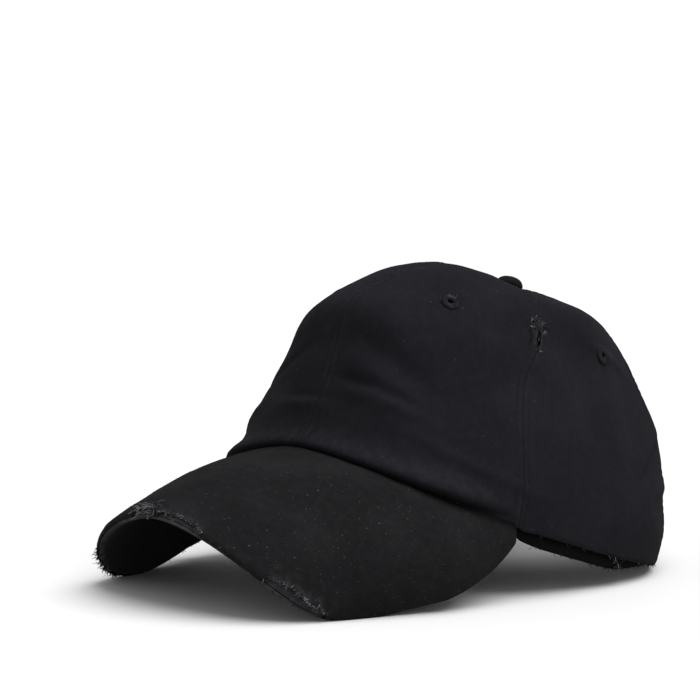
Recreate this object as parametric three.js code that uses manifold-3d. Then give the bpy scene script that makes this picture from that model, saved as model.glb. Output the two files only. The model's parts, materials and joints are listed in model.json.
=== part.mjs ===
// Ponytail baseball cap: six cloth panels, a covered button, four sewn eyelets, a curved brim of
// two covers and a board, a sweatband, and a back with a bound teardrop hole over a bound arch.
// Millimetres, +Z up. The cap is worked out in its own frame, with the origin on the crown's
// upright axis near rim level, the front toward -Y and the wearer's left toward +X. Then it is
// leant back and lowered until both brim lobes and the rear strap rest on the surface.
import * as THREE from 'three';
import { mergeVertices } from 'three/addons/utils/BufferGeometryUtils.js';
import Module from 'manifold-3d';

const wasm = await Module();
wasm.setup();

const { clamp, degToRad, euclideanModulo, lerp, smoothstep } = THREE.MathUtils;

// Crown, as half widths and reaches from its upright axis.
const CROWN_HALF_WIDTH = 83.7;
const CROWN_FRONT_REACH = 114.8;
const CROWN_BACK_REACH = 88.3;
const CROWN_HEIGHT = 106.7;
const FRONT_SQUARENESS = 2.64;
const BACK_SQUARENESS = 2.12;
const REAR_RIM_HEIGHT = 1.9;
const SIDE_RIM_LIFT = -3.4;
const TOP_SET_BACK = -1.9;
const FRONT_PUFF = 5.1;
const PUFF_LEVEL = 0.78;
const PUFF_SPREAD = 0.095;
const PUFF_POWER = 0.83;
const SEAM_DIP = 3.9;
const SEAM_DIP_LEVEL = 0.86;
const SEAM_DIP_SPREAD = 0.12;
const SEAM_DIP_TURN = degToRad(25);
const FRONT_SEAM = degToRad(59);
const REAR_SEAM = degToRad(122);
const SEAM_BOW = degToRad(6.8);
const SEAM_BOW_LEVEL = 0.61;
const SEAM_BOW_SPREAD = 0.1;
const SEAM_BOW_TURN = degToRad(25);

// Cloth and the room between pieces.
const CLOTH = 1.3;
const GAP = 0.3;
const SEAM_GAP = 0.3;
const LAID_GAP = 0.6;
const BINDING_CLOTH = 1.0;
const BINDING_ROOM = 0.75;

// Roll of cloth that puffs over the brim's root.
const ROLL_RISE = 2.6;
const ROLL_LEVEL = 0.075;
const ROLL_SPREAD = 0.045;
const ROLL_FADE = degToRad(20);

// Where the hem steps down from behind the brim's thickness to the open rim.
const HEM_STEP_BEFORE = degToRad(18);
const HEM_STEP_AFTER = degToRad(6);

// Brim: an arched sheet that slopes forward from its root on the rim.
const BRIM_SIDE_MARGIN = 0.8;
const BRIM_ARCH_DEPTH = 43.2;
const BRIM_ARCH_POINT = 1.17;
const BRIM_SLOPE = degToRad(18.9);
const BRIM_ROOT_HEIGHT = 8.2;
const BRIM_END = degToRad(60.5);
const BRIM_REACH = 81.1;
const BRIM_WIDEST_REACH = 19.6;
const BRIM_CURL = degToRad(105.7);
const BRIM_FLARE = -0.37;
const BRIM_DROOP = 14.8;
const BRIM_FRONT_POWER = 0.77;
const BRIM_REAR_POWER = 0.92;
const BRIM_COVER = 1.0;
const BRIM_BOARD = 1.4;
const BRIM_BOARD_INSET = 1.2;
const BRIM_END_TRIM = 0.04;
const ROOT_GAP = 0.35;

// Covered button and sewn eyelets.
const BUTTON_RADIUS = 6.5;
const BUTTON_HEIGHT = 4.6;
const BUTTON_SHANK_RADIUS = 3.1;
const BUTTON_SHANK = 2.4;
const EYELET_RADIUS = 4.4;
const EYELET_HOLE_RADIUS = 1.1;
const EYELET_NECK_RADIUS = 2.0;
const EYELET_THREAD = 0.7;
const EYELET_ROOM = 0.75;
const EYELET_LEVEL = 0.652;
const FRONT_EYELET = degToRad(34.8);
const SIDE_EYELET = degToRad(92);

// Sweatband.
const SWEATBAND_HEIGHT = 26;
const SWEATBAND_CLOTH = 1.2;
const SWEATBAND_DROP = 5;
const SWEATBAND_END = degToRad(132);
const SWEATBAND_STEP_BEFORE = degToRad(10);
const SWEATBAND_RISE_FROM = degToRad(95);

// Ponytail hole: a teardrop with its tip down, and its bound edge.
const PONYTAIL_HALF_WIDTH = 27;
const PONYTAIL_BRIDGE = 10;
const PONYTAIL_TOP_LEVEL = 0.87;
const PONYTAIL_POINT = 0.8;
const PONYTAIL_BINDING_WIDTH = 6;
const PONYTAIL_BINDING_TIP = 3.6;

// Arched opening above the strap, and its bound edge.
const ARCH_HALF_WIDTH = 46;
const ARCH_RISE = 24;
const ARCH_SHOULDER = 0.6;
const ARCH_FOOT_ROOM = 2;
const ARCH_BINDING_WIDTH = 5.2;

// Straps and their patch.
const STRAP_HEIGHT = 22;
const STRAP_CLOTH = 1.6;
const STRAP_TUCK = 9;
const STRAP_OVERLAP = 30;
const STRAP_LIFT_RUN = degToRad(20);
const PATCH_CLOTH = 0.9;
const PATCH_HEIGHT = 15;
const PATCH_LENGTH = 22;

const STRAP_END_ROOM = 6;
const STRAP_LIFT_ROOM = 3;

// How far the worn cloth is pressed flat where it rests.
const FLATTEN = 1.2;

// Meridian sections from the rim up: the height as a share of the crown's height, and the half
// width and the two reaches as shares of those at the rim.
const SECTIONS = [
  { level: 0.00, width: 1.00, front: 1.00, back: 1.00 },
  { level: 0.17, width: 0.97, front: 1.00, back: 1.09 },
  { level: 0.45, width: 0.84, front: 0.95, back: 1.10 },
  { level: 0.69, width: 0.695, front: 0.905, back: 0.92 },
  { level: 0.91, width: 0.53, front: 0.50, back: 0.46 },
  { level: 1.00, width: 0.00, front: 0.00, back: 0.00 },
];

// How much longer the cloth is than the crown is high.
const CLOTH_RUN = 1.3;

// Soft folds and hollows: where each is centred, as an angle from the front and a level, which
// way its crest runs, and its length, width and rise as shares of the crown's height.
const FOLDS = [
  { angle: 24, level: 0.4, run: -20, length: 0.22, width: 0.05, rise: -0.016 },
  { angle: 22, level: 0.33, run: -22, length: 0.24, width: 0.06, rise: 0.016 },
  { angle: -8, level: 0.3, run: 5, length: 0.16, width: 0.05, rise: -0.012 },
  { angle: 74, level: 0.62, run: -75, length: 0.2, width: 0.07, rise: -0.014 },
  { angle: 150, level: 0.33, run: 10, length: 0.3, width: 0.06, rise: -0.02 },
];

// Worn bites out of the top cover's edge: the middle as a share of the way from the brim's middle
// to its end, toward the wearer's left, and the half length and depth as shares of its reach.
const BRIM_BITES = [
  { middle: 0.36, half: 0.12, depth: 0.05 },
  { middle: 0.44, half: 0.1, depth: 0.045 },
  { middle: 0.08, half: 0.14, depth: 0.03 },
  { middle: -0.04, half: 0.08, depth: 0.035 },
];

// Torn slit on the seam between the front left and side left panels.
const SLIT_LEVEL = 0.63;
const SLIT_LENGTH = 15;
const SLIT_WIDTH = 2.6;

// Mesh steps.
const PANEL_ROWS = 14;
const PANEL_STEP = degToRad(8);
const ROW_CROWDING = 1.3;
const BRIM_COLUMNS = 36;
const BRIM_ROWS = 6;
const ROUND_SIDES = 12;
const BUTTON_SIDES = 16;
const HOLE_CUT_STEPS = 40;
const HOLE_STEPS = 32;
const ARCH_CUT_STEPS = 25;
const ARCH_STEPS = 21;
const SLIT_STEPS = 10;

// How far the cutters stand out past both sides of the cloth.
const HOLE_CUT_ROOM = 9;
const ARCH_CUT_ROOM = 12;
const SLIT_CUT_ROOM = 5;

const charcoal = (roughness, shade) =>
  new THREE.MeshStandardMaterial({ color: shade, roughness, metalness: 0 });
const CLOTH_FINISH = charcoal(0.95, 0x2a2a2d);
const BRIM_FINISH = charcoal(0.93, 0x303033);
const BAND_FINISH = charcoal(0.9, 0x18181a);
const THREAD_FINISH = charcoal(0.8, 0x3a3a3d);
const BOARD_FINISH = charcoal(0.9, 0x4a4a4d);

const signedPower = (value, power) => Math.sign(value) * Math.abs(value) ** power;
const bell = (value, middle, spread) => Math.exp(-(((value - middle) / spread) ** 2));
const wrapAngle = (angle) => euclideanModulo(angle + Math.PI, 2 * Math.PI) - Math.PI;

// Plan outline of the crown at an angle from the front: unit shares sideways and forward. It is a
// superellipse that turns round toward the top.
function planShare(angle, level) {
  const side = Math.sin(angle);
  const ahead = Math.cos(angle);
  const rounding = 1 - clamp(level, 0, 1);
  const mean = (FRONT_SQUARENESS + BACK_SQUARENESS) / 2;
  const own = ahead > 0 ? FRONT_SQUARENESS : BACK_SQUARENESS;
  const power = 2 + (mean + (own - mean) * Math.abs(ahead) - 2) * rounding;
  const reach = (Math.abs(side) ** power + Math.abs(ahead) ** power) ** (-1 / power);
  return { side: reach * side, ahead: reach * ahead };
}

// Smooth section between the rows of the table. The rows are mirrored past the top.
function sectionAt(level) {
  const last = SECTIONS.length - 1;
  const place = clamp(level, 0, 1) * last;
  const row = Math.min(Math.floor(place), last - 1);
  const f = place - row;
  const read = (index, key) => {
    if (index < 0) return 2 * SECTIONS[0][key] - SECTIONS[1][key];
    if (index <= last) return SECTIONS[index][key];
    return key === 'level' ? SECTIONS[last - 1].level : -SECTIONS[last - 1][key];
  };
  const blend = (key) => {
    const [a, b, c, d] = [-1, 0, 1, 2].map((step) => read(row + step, key));
    const linear = (c - a) * f;
    const square = (2 * a - 5 * b + 4 * c - d) * f ** 2;
    const cube = (3 * b - a - 3 * c + d) * f ** 3;
    return (2 * b + linear + square + cube) / 2;
  };
  return { level: blend('level'), width: blend('width'), front: blend('front'), back: blend('back') };
}

const BRIM_HALF_WIDTH = CROWN_HALF_WIDTH * planShare(BRIM_END, 0).side + BRIM_SIDE_MARGIN;
const BRIM_THICKNESS = 2 * BRIM_COVER + BRIM_BOARD + 2 * GAP;

// Point of the brim's arched sheet: bend is the angle round the arch, reach the way forward.
function archPoint(bend, reach) {
  const share = reach / BRIM_REACH;
  const halfWidth = BRIM_HALF_WIDTH * (1 + BRIM_FLARE * Math.max(share, 0));
  const drop = BRIM_ARCH_DEPTH * (1 - Math.cos(bend));
  const droop = BRIM_DROOP * share * Math.abs(share);
  return new THREE.Vector3(
    halfWidth * signedPower(Math.sin(bend), BRIM_ARCH_POINT),
    -CROWN_FRONT_REACH - reach * Math.cos(BRIM_SLOPE) + drop * Math.sin(BRIM_SLOPE),
    BRIM_ROOT_HEIGHT - reach * Math.sin(BRIM_SLOPE) - drop * Math.cos(BRIM_SLOPE) - droop,
  );
}

// Where the sheet meets the crown at an angle from the front, as a bend and a reach.
function brimRoot(angle) {
  const share = planShare(Math.abs(angle), 0);
  const across = CROWN_HALF_WIDTH * share.side / BRIM_HALF_WIDTH;
  const bend = Math.asin(clamp(across, 0, 1) ** (1 / BRIM_ARCH_POINT));
  const drop = BRIM_ARCH_DEPTH * (1 - Math.cos(bend));
  const back = CROWN_FRONT_REACH * (1 - share.ahead) - drop * Math.sin(BRIM_SLOPE);
  return { bend: Math.sign(angle) * bend, reach: -back / Math.cos(BRIM_SLOPE) };
}

// Height of the brim's top at its root, and of the hem behind the brim's ends.
function rimHeight(angle) {
  const away = Math.abs(wrapAngle(angle));
  const { bend, reach } = brimRoot(Math.min(away, BRIM_END));
  const rootHeight = archPoint(bend, reach).z;
  if (away <= BRIM_END) return rootHeight;
  const share = (away - BRIM_END) / (Math.PI - BRIM_END);
  const run = smoothstep(share, 0, 1);
  return rootHeight * (1 - run) + REAR_RIM_HEIGHT * run + SIDE_RIM_LIFT * Math.sin(Math.PI * share);
}

// The panels' lower edge backs the brim's thickness in front.
function hemHeight(angle) {
  const away = Math.abs(wrapAngle(angle));
  const behind = smoothstep(away, BRIM_END - HEM_STEP_BEFORE, BRIM_END + HEM_STEP_AFTER);
  return rimHeight(angle) - (BRIM_THICKNESS + ROOT_GAP) * (1 - behind);
}

// Outer surface of the crown without its folds. Below level 0 it runs straight down.
function crownBase(angle, level) {
  const { level: height, width, front, back } = sectionAt(level);
  const { side, ahead } = planShare(angle, level);
  const fade = (1 - clamp(level, 0, 1)) ** 1.5;
  const setBack = TOP_SET_BACK * clamp(level, 0, 1) ** 2;
  const puffed = Math.max(ahead, 0) ** PUFF_POWER * bell(level, PUFF_LEVEL, PUFF_SPREAD);
  const fromSeam = Math.abs(wrapAngle(angle)) - FRONT_SEAM;
  const dipped = bell(fromSeam, 0, SEAM_DIP_TURN) * bell(level, SEAM_DIP_LEVEL, SEAM_DIP_SPREAD);
  const puff = FRONT_PUFF * puffed - SEAM_DIP * dipped;
  return new THREE.Vector3(
    CROWN_HALF_WIDTH * width * side,
    (ahead > 0 ? -CROWN_FRONT_REACH * front : -CROWN_BACK_REACH * back) * ahead + setBack,
    CROWN_HEIGHT * (height + Math.min(level, 0)) + hemHeight(angle) * fade + puff,
  );
}

const SLOPE_STEP = 0.01;

// How the surface runs at a point: along the angle, up the level, and straight out.
function crownFrame(angle, level) {
  const at = clamp(level, 0, 1 - 2 * SLOPE_STEP);
  const along = crownBase(angle + SLOPE_STEP, at).sub(crownBase(angle - SLOPE_STEP, at));
  const up = crownBase(angle, at + SLOPE_STEP).sub(crownBase(angle, at));
  const out = new THREE.Vector3().crossVectors(along, up).normalize();
  return { along: along.divideScalar(2 * SLOPE_STEP), up: up.divideScalar(SLOPE_STEP), out };
}

// The seams between the front and side panels bow toward the back above their middle.
function seamBow(angle, level) {
  const away = wrapAngle(angle);
  const near = bell(Math.abs(away) - FRONT_SEAM, 0, SEAM_BOW_TURN);
  return Math.sign(away) * SEAM_BOW * near * bell(level, SEAM_BOW_LEVEL, SEAM_BOW_SPREAD);
}

// How far folds and the roll over the brim's root lift the cloth off the base surface.
function foldRise(angle, level) {
  const front = 1 - smoothstep(Math.abs(wrapAngle(angle)), BRIM_END - ROLL_FADE, BRIM_END);
  const roll = ROLL_RISE * front * bell(level, ROLL_LEVEL, ROLL_SPREAD);
  return FOLDS.reduce((sum, fold) => {
    const run = degToRad(fold.run);
    const beside = wrapAngle(angle - degToRad(fold.angle)) * CROWN_HALF_WIDTH;
    const above = (level - fold.level) * CROWN_HEIGHT * CLOTH_RUN;
    const along = (beside * Math.cos(run) + above * Math.sin(run)) / (fold.length * CROWN_HEIGHT);
    const across = (above * Math.cos(run) - beside * Math.sin(run)) / (fold.width * CROWN_HEIGHT);
    return sum + fold.rise * CROWN_HEIGHT * Math.exp(-(along ** 2) - across ** 2);
  }, roll);
}

// Point of the crown at a depth under its outer surface.
function crownPoint(angle, level, depth) {
  const rise = foldRise(angle, level) - depth;
  return crownBase(angle, level).addScaledVector(crownFrame(angle, level).out, rise);
}

// Level of a point that lies a height up the cloth from the hem.
function levelUp(angle, height) {
  return height / crownFrame(angle, 0).up.length();
}

// Level at which the crown is as wide as a round hole in its top.
function levelOfRadius(radius) {
  let low = 0.5;
  let high = 1;
  for (let step = 0; step < 40; step += 1) {
    const middle = (low + high) / 2;
    const reach = CROWN_HALF_WIDTH * sectionAt(middle).width;
    if (reach > radius) low = middle;
    else high = middle;
  }
  return low;
}

// One closed body between two sheets of points. Columns run along i and rows along j, and the
// body's outside is where i to the right and j upward are seen from.
function slab(columns, rows, pointAt) {
  const points = [];
  const faces = [];
  const index = (i, j, inside) => (inside * (columns + 1) + i) * (rows + 1) + j;
  for (const inside of [0, 1]) {
    for (let i = 0; i <= columns; i += 1) {
      for (let j = 0; j <= rows; j += 1) points.push(pointAt(i, j, inside));
    }
  }
  const quad = (a, b, c, d) => faces.push(a, b, c, a, c, d);
  for (let i = 0; i < columns; i += 1) {
    for (let j = 0; j < rows; j += 1) {
      quad(index(i, j, 0), index(i + 1, j, 0), index(i + 1, j + 1, 0), index(i, j + 1, 0));
      quad(index(i, j, 1), index(i, j + 1, 1), index(i + 1, j + 1, 1), index(i + 1, j, 1));
    }
    quad(index(i, 0, 0), index(i, 0, 1), index(i + 1, 0, 1), index(i + 1, 0, 0));
    quad(index(i, rows, 0), index(i + 1, rows, 0), index(i + 1, rows, 1), index(i, rows, 1));
  }
  for (let j = 0; j < rows; j += 1) {
    quad(index(0, j, 0), index(0, j + 1, 0), index(0, j + 1, 1), index(0, j, 1));
    quad(index(columns, j, 0), index(columns, j, 1), index(columns, j + 1, 1), index(columns, j + 1, 0));
  }
  return new THREE.BufferGeometry().setFromPoints(points).setIndex(faces);
}

// A section of points swept through stations, closed on itself or capped by the section's quads.
function sweep(sections, closed, capQuads) {
  const around = sections[0].length;
  const faces = [];
  const quad = (a, b, c, d) => faces.push(a, b, c, a, c, d);
  const spans = closed ? sections.length : sections.length - 1;
  for (let i = 0; i < spans; i += 1) {
    const here = i * around;
    const next = ((i + 1) % sections.length) * around;
    for (let k = 0; k < around; k += 1) {
      const turn = (k + 1) % around;
      quad(here + k, next + k, next + turn, here + turn);
    }
  }
  if (!closed) {
    const end = (sections.length - 1) * around;
    for (const [a, b, c, d] of capQuads) {
      quad(a, b, c, d);
      quad(end + d, end + c, end + b, end + a);
    }
  }
  return new THREE.BufferGeometry().setFromPoints(sections.flat()).setIndex(faces);
}

// Closed solid of a geometry, with its faces turned outward.
function toSolid(geometry) {
  const bare = geometry.clone();
  bare.deleteAttribute('normal');
  bare.deleteAttribute('uv');
  const merged = mergeVertices(bare, 1e-4);
  const position = merged.getAttribute('position').array;
  const faces = new Uint32Array(merged.index.array);
  const make = (triVerts) => new wasm.Manifold(
    new wasm.Mesh({ numProp: 3, vertProperties: Float32Array.from(position), triVerts }),
  );
  const made = make(faces);
  return made.volume() >= 0 ? made : make(faces.reverse());
}

function fromSolid(solid) {
  const mesh = solid.getMesh();
  const geometry = new THREE.BufferGeometry();
  geometry.setAttribute('position', new THREE.BufferAttribute(mesh.vertProperties, mesh.numProp));
  geometry.setIndex(new THREE.BufferAttribute(mesh.triVerts, 1));
  return geometry;
}

// A cutter through the cloth inside an outline of angles and levels, as a fan about its middle.
function outlineCutter(outline, margin) {
  const middle = {
    angle: outline.reduce((sum, point) => sum + point.angle, 0) / outline.length,
    level: outline.reduce((sum, point) => sum + point.level, 0) / outline.length,
  };
  const faces = [];
  const count = outline.length;
  const points = [middle, ...outline].map(({ angle, level }) => crownPoint(angle, level, -margin));
  const inner = [middle, ...outline].map(({ angle, level }) => crownPoint(angle, level, CLOTH + margin));
  for (let i = 0; i < count; i += 1) {
    const here = 1 + i;
    const next = 1 + ((i + 1) % count);
    const below = count + 1;
    faces.push(0, here, next, below, below + next, below + here);
    faces.push(here, below + here, below + next, here, below + next, next);
  }
  return toSolid(new THREE.BufferGeometry().setFromPoints([...points, ...inner]).setIndex(faces));
}

const PANELS = [
  { name: 'front_left_panel', from: 0, to: FRONT_SEAM },
  { name: 'side_left_panel', from: FRONT_SEAM, to: REAR_SEAM },
  { name: 'back_left_panel', from: REAR_SEAM, to: Math.PI },
  { name: 'back_right_panel', from: -Math.PI, to: -REAR_SEAM },
  { name: 'side_right_panel', from: -REAR_SEAM, to: -FRONT_SEAM },
  { name: 'front_right_panel', from: -FRONT_SEAM, to: 0 },
];

// One eyelet in each front and side panel.
const EYELETS = [
  { name: 'eyelet_front_left', angle: FRONT_EYELET },
  { name: 'eyelet_side_left', angle: SIDE_EYELET },
  { name: 'eyelet_side_right', angle: -SIDE_EYELET },
  { name: 'eyelet_front_right', angle: -FRONT_EYELET },
];

// Frame on the cloth at an eyelet: +Y of the turned piece points straight out of the crown.
function seatOnCloth(angle, level) {
  const matrix = new THREE.Matrix4();
  const { out, up } = crownFrame(angle, level);
  const across = new THREE.Vector3().crossVectors(up, out).normalize();
  matrix.makeBasis(across, out, new THREE.Vector3().crossVectors(across, out));
  return matrix.setPosition(crownPoint(angle, level, 0));
}

const EYELET_CUT_RADIUS = EYELET_NECK_RADIUS + GAP;

function eyeletCutter({ angle }) {
  const hole = new THREE.CylinderGeometry(
    EYELET_CUT_RADIUS,
    EYELET_CUT_RADIUS,
    8 * CLOTH,
    ROUND_SIDES,
  );
  return toSolid(hole.applyMatrix4(seatOnCloth(angle, EYELET_LEVEL)));
}

const ARCH_FOOT = STRAP_HEIGHT + ARCH_FOOT_ROOM;
const HEM_ARC = crownFrame(Math.PI, 0).along.length();
const ARCH_HALF_ANGLE = ARCH_HALF_WIDTH / HEM_ARC;

// The teardrop's tip lies on the back middle, a bridge of cloth above the arch.
const ARCH_TOP_LEVEL = levelUp(Math.PI, ARCH_FOOT + ARCH_RISE);
const PONYTAIL_TIP_LEVEL = ARCH_TOP_LEVEL
  + PONYTAIL_BRIDGE / crownFrame(Math.PI, ARCH_TOP_LEVEL).up.length();

// The teardrop round the back middle, from its tip at the bottom and back to it.
function ponytailOutline(steps) {
  const widest = (a) => Math.sin(a) * Math.sin(a / 2) ** PONYTAIL_POINT;
  const peak = Math.max(...Array.from({ length: 90 }, (_, i) => widest((i * Math.PI) / 90)));
  return Array.from({ length: steps }, (_, i) => {
    const a = (2 * Math.PI * (i + 0.5)) / steps;
    const side = PONYTAIL_HALF_WIDTH * Math.sin(a) * Math.sin(a / 2) ** PONYTAIL_POINT / peak;
    const share = (1 - Math.cos(a)) / 2;
    const level = PONYTAIL_TIP_LEVEL + (PONYTAIL_TOP_LEVEL - PONYTAIL_TIP_LEVEL) * share;
    return { angle: Math.PI - side / crownFrame(Math.PI, level).along.length(), level };
  });
}

// The arch over the strap, from the wearer's left foot over the top to the right foot.
function archOutline(steps) {
  return Array.from({ length: steps }, (_, i) => {
    const a = (Math.PI * i) / (steps - 1);
    const angle = Math.PI - ARCH_HALF_ANGLE * signedPower(Math.cos(a), ARCH_SHOULDER);
    const height = ARCH_FOOT + ARCH_RISE * Math.max(Math.sin(a), 0) ** ARCH_SHOULDER;
    return { angle, level: levelUp(angle, height) };
  });
}

function archCutOutline() {
  const below = -0.1;
  const arch = archOutline(ARCH_CUT_STEPS);
  return [
    { angle: arch[0].angle, level: below },
    ...arch,
    { angle: arch[arch.length - 1].angle, level: below },
  ];
}

// The torn slit, a lens on the seam.
function slitOutline() {
  const seam = (level) => FRONT_SEAM + seamBow(FRONT_SEAM, level);
  const { along, up } = crownFrame(seam(SLIT_LEVEL), SLIT_LEVEL);
  return Array.from({ length: SLIT_STEPS }, (_, i) => {
    const a = (2 * Math.PI * i) / SLIT_STEPS;
    const ahead = (SLIT_WIDTH / 2) * Math.sin(a) + (SLIT_WIDTH / 4) * Math.cos(3 * a);
    const level = SLIT_LEVEL - ((SLIT_LENGTH / 2) * Math.cos(a)) / up.length();
    return { angle: seam(level) - ahead / along.length(), level };
  });
}

// How far up the crown a panel's rows lie, crowded toward the hem.
const rowShare = (j) => (j / PANEL_ROWS) ** ROW_CROWDING;

// One crown panel between two seams, from the hem to the hole under the button.
function panelSolid({ from, to }) {
  const topLevel = levelOfRadius(BUTTON_SHANK_RADIUS / 2);
  const columns = Math.ceil((to - from) / PANEL_STEP);
  const pointAt = (i, j, inside) => {
    const level = topLevel * rowShare(j);
    const seat = crownBase((from + to) / 2, level);
    const margin = SEAM_GAP / 2 / Math.hypot(seat.x, seat.y);
    const angle = from + margin + ((to - from - 2 * margin) * i) / columns;
    return crownPoint(angle + seamBow(angle, level), level, inside * CLOTH);
  };
  const buttonHole = new THREE.CylinderGeometry(
    BUTTON_SHANK_RADIUS + GAP,
    BUTTON_SHANK_RADIUS + GAP,
    CROWN_HEIGHT,
    2 * ROUND_SIDES,
  );
  buttonHole.rotateX(Math.PI / 2).translate(0, TOP_SET_BACK, CROWN_HEIGHT);
  return toSolid(slab(columns, PANEL_ROWS, pointAt)).subtract(toSolid(buttonHole));
}

// Bound edge: a folded strip whose two legs lie on the cloth's outside and inside. Each station
// of the outline gives the way across the strip, away from the hole.
function bindingSections(outline, closed, widthAt) {
  const count = outline.length;
  const rim = BINDING_CLOTH + BINDING_ROOM;
  const flat = (point) => crownPoint(point.angle, point.level, 0);
  return outline.map((point, i) => {
    const before = outline[closed ? (i + count - 1) % count : Math.max(i - 1, 0)];
    const after = outline[closed ? (i + 1) % count : Math.min(i + 1, count - 1)];
    const along = flat(after).sub(flat(before));
    const frame = crownFrame(point.angle, point.level);
    const away = new THREE.Vector3().crossVectors(frame.out, along).normalize();
    const width = widthAt(point);
    const place = (offset, depth) => {
      const angle = point.angle + (away.dot(frame.along) * offset) / frame.along.lengthSq();
      const level = point.level + (away.dot(frame.up) * offset) / frame.up.lengthSq();
      return crownPoint(angle, level, depth);
    };
    return [
      place(width, -rim),
      place(-rim, -rim),
      place(-rim, CLOTH + rim),
      place(width, CLOTH + rim),
      place(width, CLOTH + BINDING_ROOM),
      place(-BINDING_ROOM, CLOTH + BINDING_ROOM),
      place(-BINDING_ROOM, -BINDING_ROOM),
      place(width, -BINDING_ROOM),
    ];
  });
}

const BINDING_CAP = [[0, 1, 6, 7], [1, 2, 5, 6], [2, 3, 4, 5]];

// Angles of the panels' columns, all the way round and on past the back.
const COLUMN_ANGLES = PANELS.flatMap(({ from, to }) => {
  const columns = Math.ceil((to - from) / PANEL_STEP);
  const angles = Array.from({ length: columns }, (_, i) => lerp(from, to, i / columns));
  return angles.flatMap((angle) => [angle, angle + 2 * Math.PI]);
}).sort((a, b) => a - b);

// Strip of cloth along the hem between two angles, with its own depth at each angle. It shares
// the panels' columns and rows, so that it lies evenly along them.
function hemStrip({ from, to, low, high, thickness, depthAt }) {
  const clear = PANEL_STEP / 4;
  const between = COLUMN_ANGLES.filter((angle) => angle > from + clear && angle < to - clear);
  const angles = [from, ...between, to];
  const highest = levelUp(from, high);
  const levels = Array.from({ length: PANEL_ROWS }, (_, j) => rowShare(j))
    .filter((level) => level > levelUp(from, low(from)) + 0.01 && level < highest - 0.01);
  const rows = levels.length + 1;
  const pointAt = (i, j, inside) => {
    const angle = angles[i];
    const ends = [levelUp(angle, low(angle)), levelUp(angle, high)];
    const level = j === 0 ? ends[0] : (levels[j - 1] ?? ends[1]);
    return crownPoint(angle, level, depthAt(angle, level) + inside * thickness);
  };
  return slab(angles.length - 1, rows, pointAt);
}

const STRAP_TUCK_ANGLE = STRAP_TUCK / HEM_ARC;
const STRAP_TUCKED_DEPTH = CLOTH + LAID_GAP;
const STRAP_PROUD_DEPTH = STRAP_TUCKED_DEPTH - STRAP_CLOTH - PATCH_CLOTH - 2 * LAID_GAP;
const STRAP_LEFT_FROM = Math.PI - ARCH_HALF_ANGLE - STRAP_TUCK_ANGLE;
const STRAP_RIGHT_TO = Math.PI + ARCH_HALF_ANGLE + STRAP_TUCK_ANGLE;
const STRAP_LEFT_TO = Math.PI + ARCH_HALF_ANGLE - STRAP_END_ROOM / HEM_ARC;
const STRAP_RIGHT_FROM = STRAP_LEFT_TO - STRAP_OVERLAP / HEM_ARC;

// The left strap comes from behind its panel and rises over the tab from the right.
function leftStrapDepth(angle) {
  const start = Math.PI - ARCH_HALF_ANGLE + STRAP_LIFT_ROOM / HEM_ARC;
  const rise = smoothstep(angle, start, start + STRAP_LIFT_RUN);
  return STRAP_TUCKED_DEPTH + (STRAP_PROUD_DEPTH - STRAP_TUCKED_DEPTH) * rise;
}

// Outline of the brim from its middle to its ends, in the sheet's own bend and reach.
const BRIM_TIP = brimRoot(BRIM_END);
const BRIM_TURN = Math.PI - Math.asin(clamp(BRIM_TIP.bend / BRIM_CURL, 0, 1));

function brimEdge(share, inset) {
  const turn = Math.abs(share) * BRIM_TURN;
  const ahead = Math.cos(turn);
  const rearReach = BRIM_WIDEST_REACH - BRIM_TIP.reach;
  const rearSpan = rearReach / Math.abs(Math.cos(BRIM_TURN)) ** BRIM_REAR_POWER;
  const reach = ahead > 0
    ? (BRIM_REACH - BRIM_WIDEST_REACH) * ahead ** BRIM_FRONT_POWER
    : -rearSpan * (-ahead) ** BRIM_REAR_POWER;
  const bend = Math.sign(share) * BRIM_CURL * Math.sin(turn);
  const pull = inset / BRIM_REACH;
  const root = brimRoot(share * BRIM_END);
  return {
    bend: lerp(bend, root.bend, pull),
    reach: lerp(BRIM_WIDEST_REACH + reach, root.reach, pull),
  };
}

// Place on the brim's top: share runs from one end (-1) to the other (1), and out from the root
// (0) to the edge (1).
function brimSurface(share, out, inset) {
  const root = brimRoot(share * BRIM_END);
  const edge = brimEdge(share, inset);
  return archPoint(lerp(root.bend, edge.bend, out), lerp(root.reach, edge.reach, out));
}

// How the brim's top runs at a place: along its length, forward, and down through its thickness.
function brimFrame(share, out, inset) {
  const step = 0.004;
  const at = Math.min(out, 1 - step);
  const along = brimSurface(share + step, out, inset).sub(brimSurface(share - step, out, inset));
  const forward = brimSurface(share, at + step, inset).sub(brimSurface(share, at, inset));
  const down = new THREE.Vector3().crossVectors(along, forward).normalize();
  return { along: along.normalize(), down };
}

function brimPoint(share, out, inset, depth) {
  const { down } = brimFrame(share, out, inset);
  return brimSurface(share, out, inset).addScaledVector(down, depth);
}

// A lens that takes a worn bite out of the top cover's edge and stays clear of the board.
function biteCutter({ middle, half, depth }) {
  const { along, down } = brimFrame(middle, 1, 0);
  const tall = 4 * BRIM_COVER;
  const lens = new THREE.CylinderGeometry(1, 1, tall, ROUND_SIDES);
  lens.scale(half * BRIM_REACH, 1, depth * BRIM_REACH);
  const place = new THREE.Matrix4().makeBasis(along, down, new THREE.Vector3().crossVectors(along, down));
  return toSolid(lens.applyMatrix4(place.setPosition(brimSurface(middle, 1, 0))));
}

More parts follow.
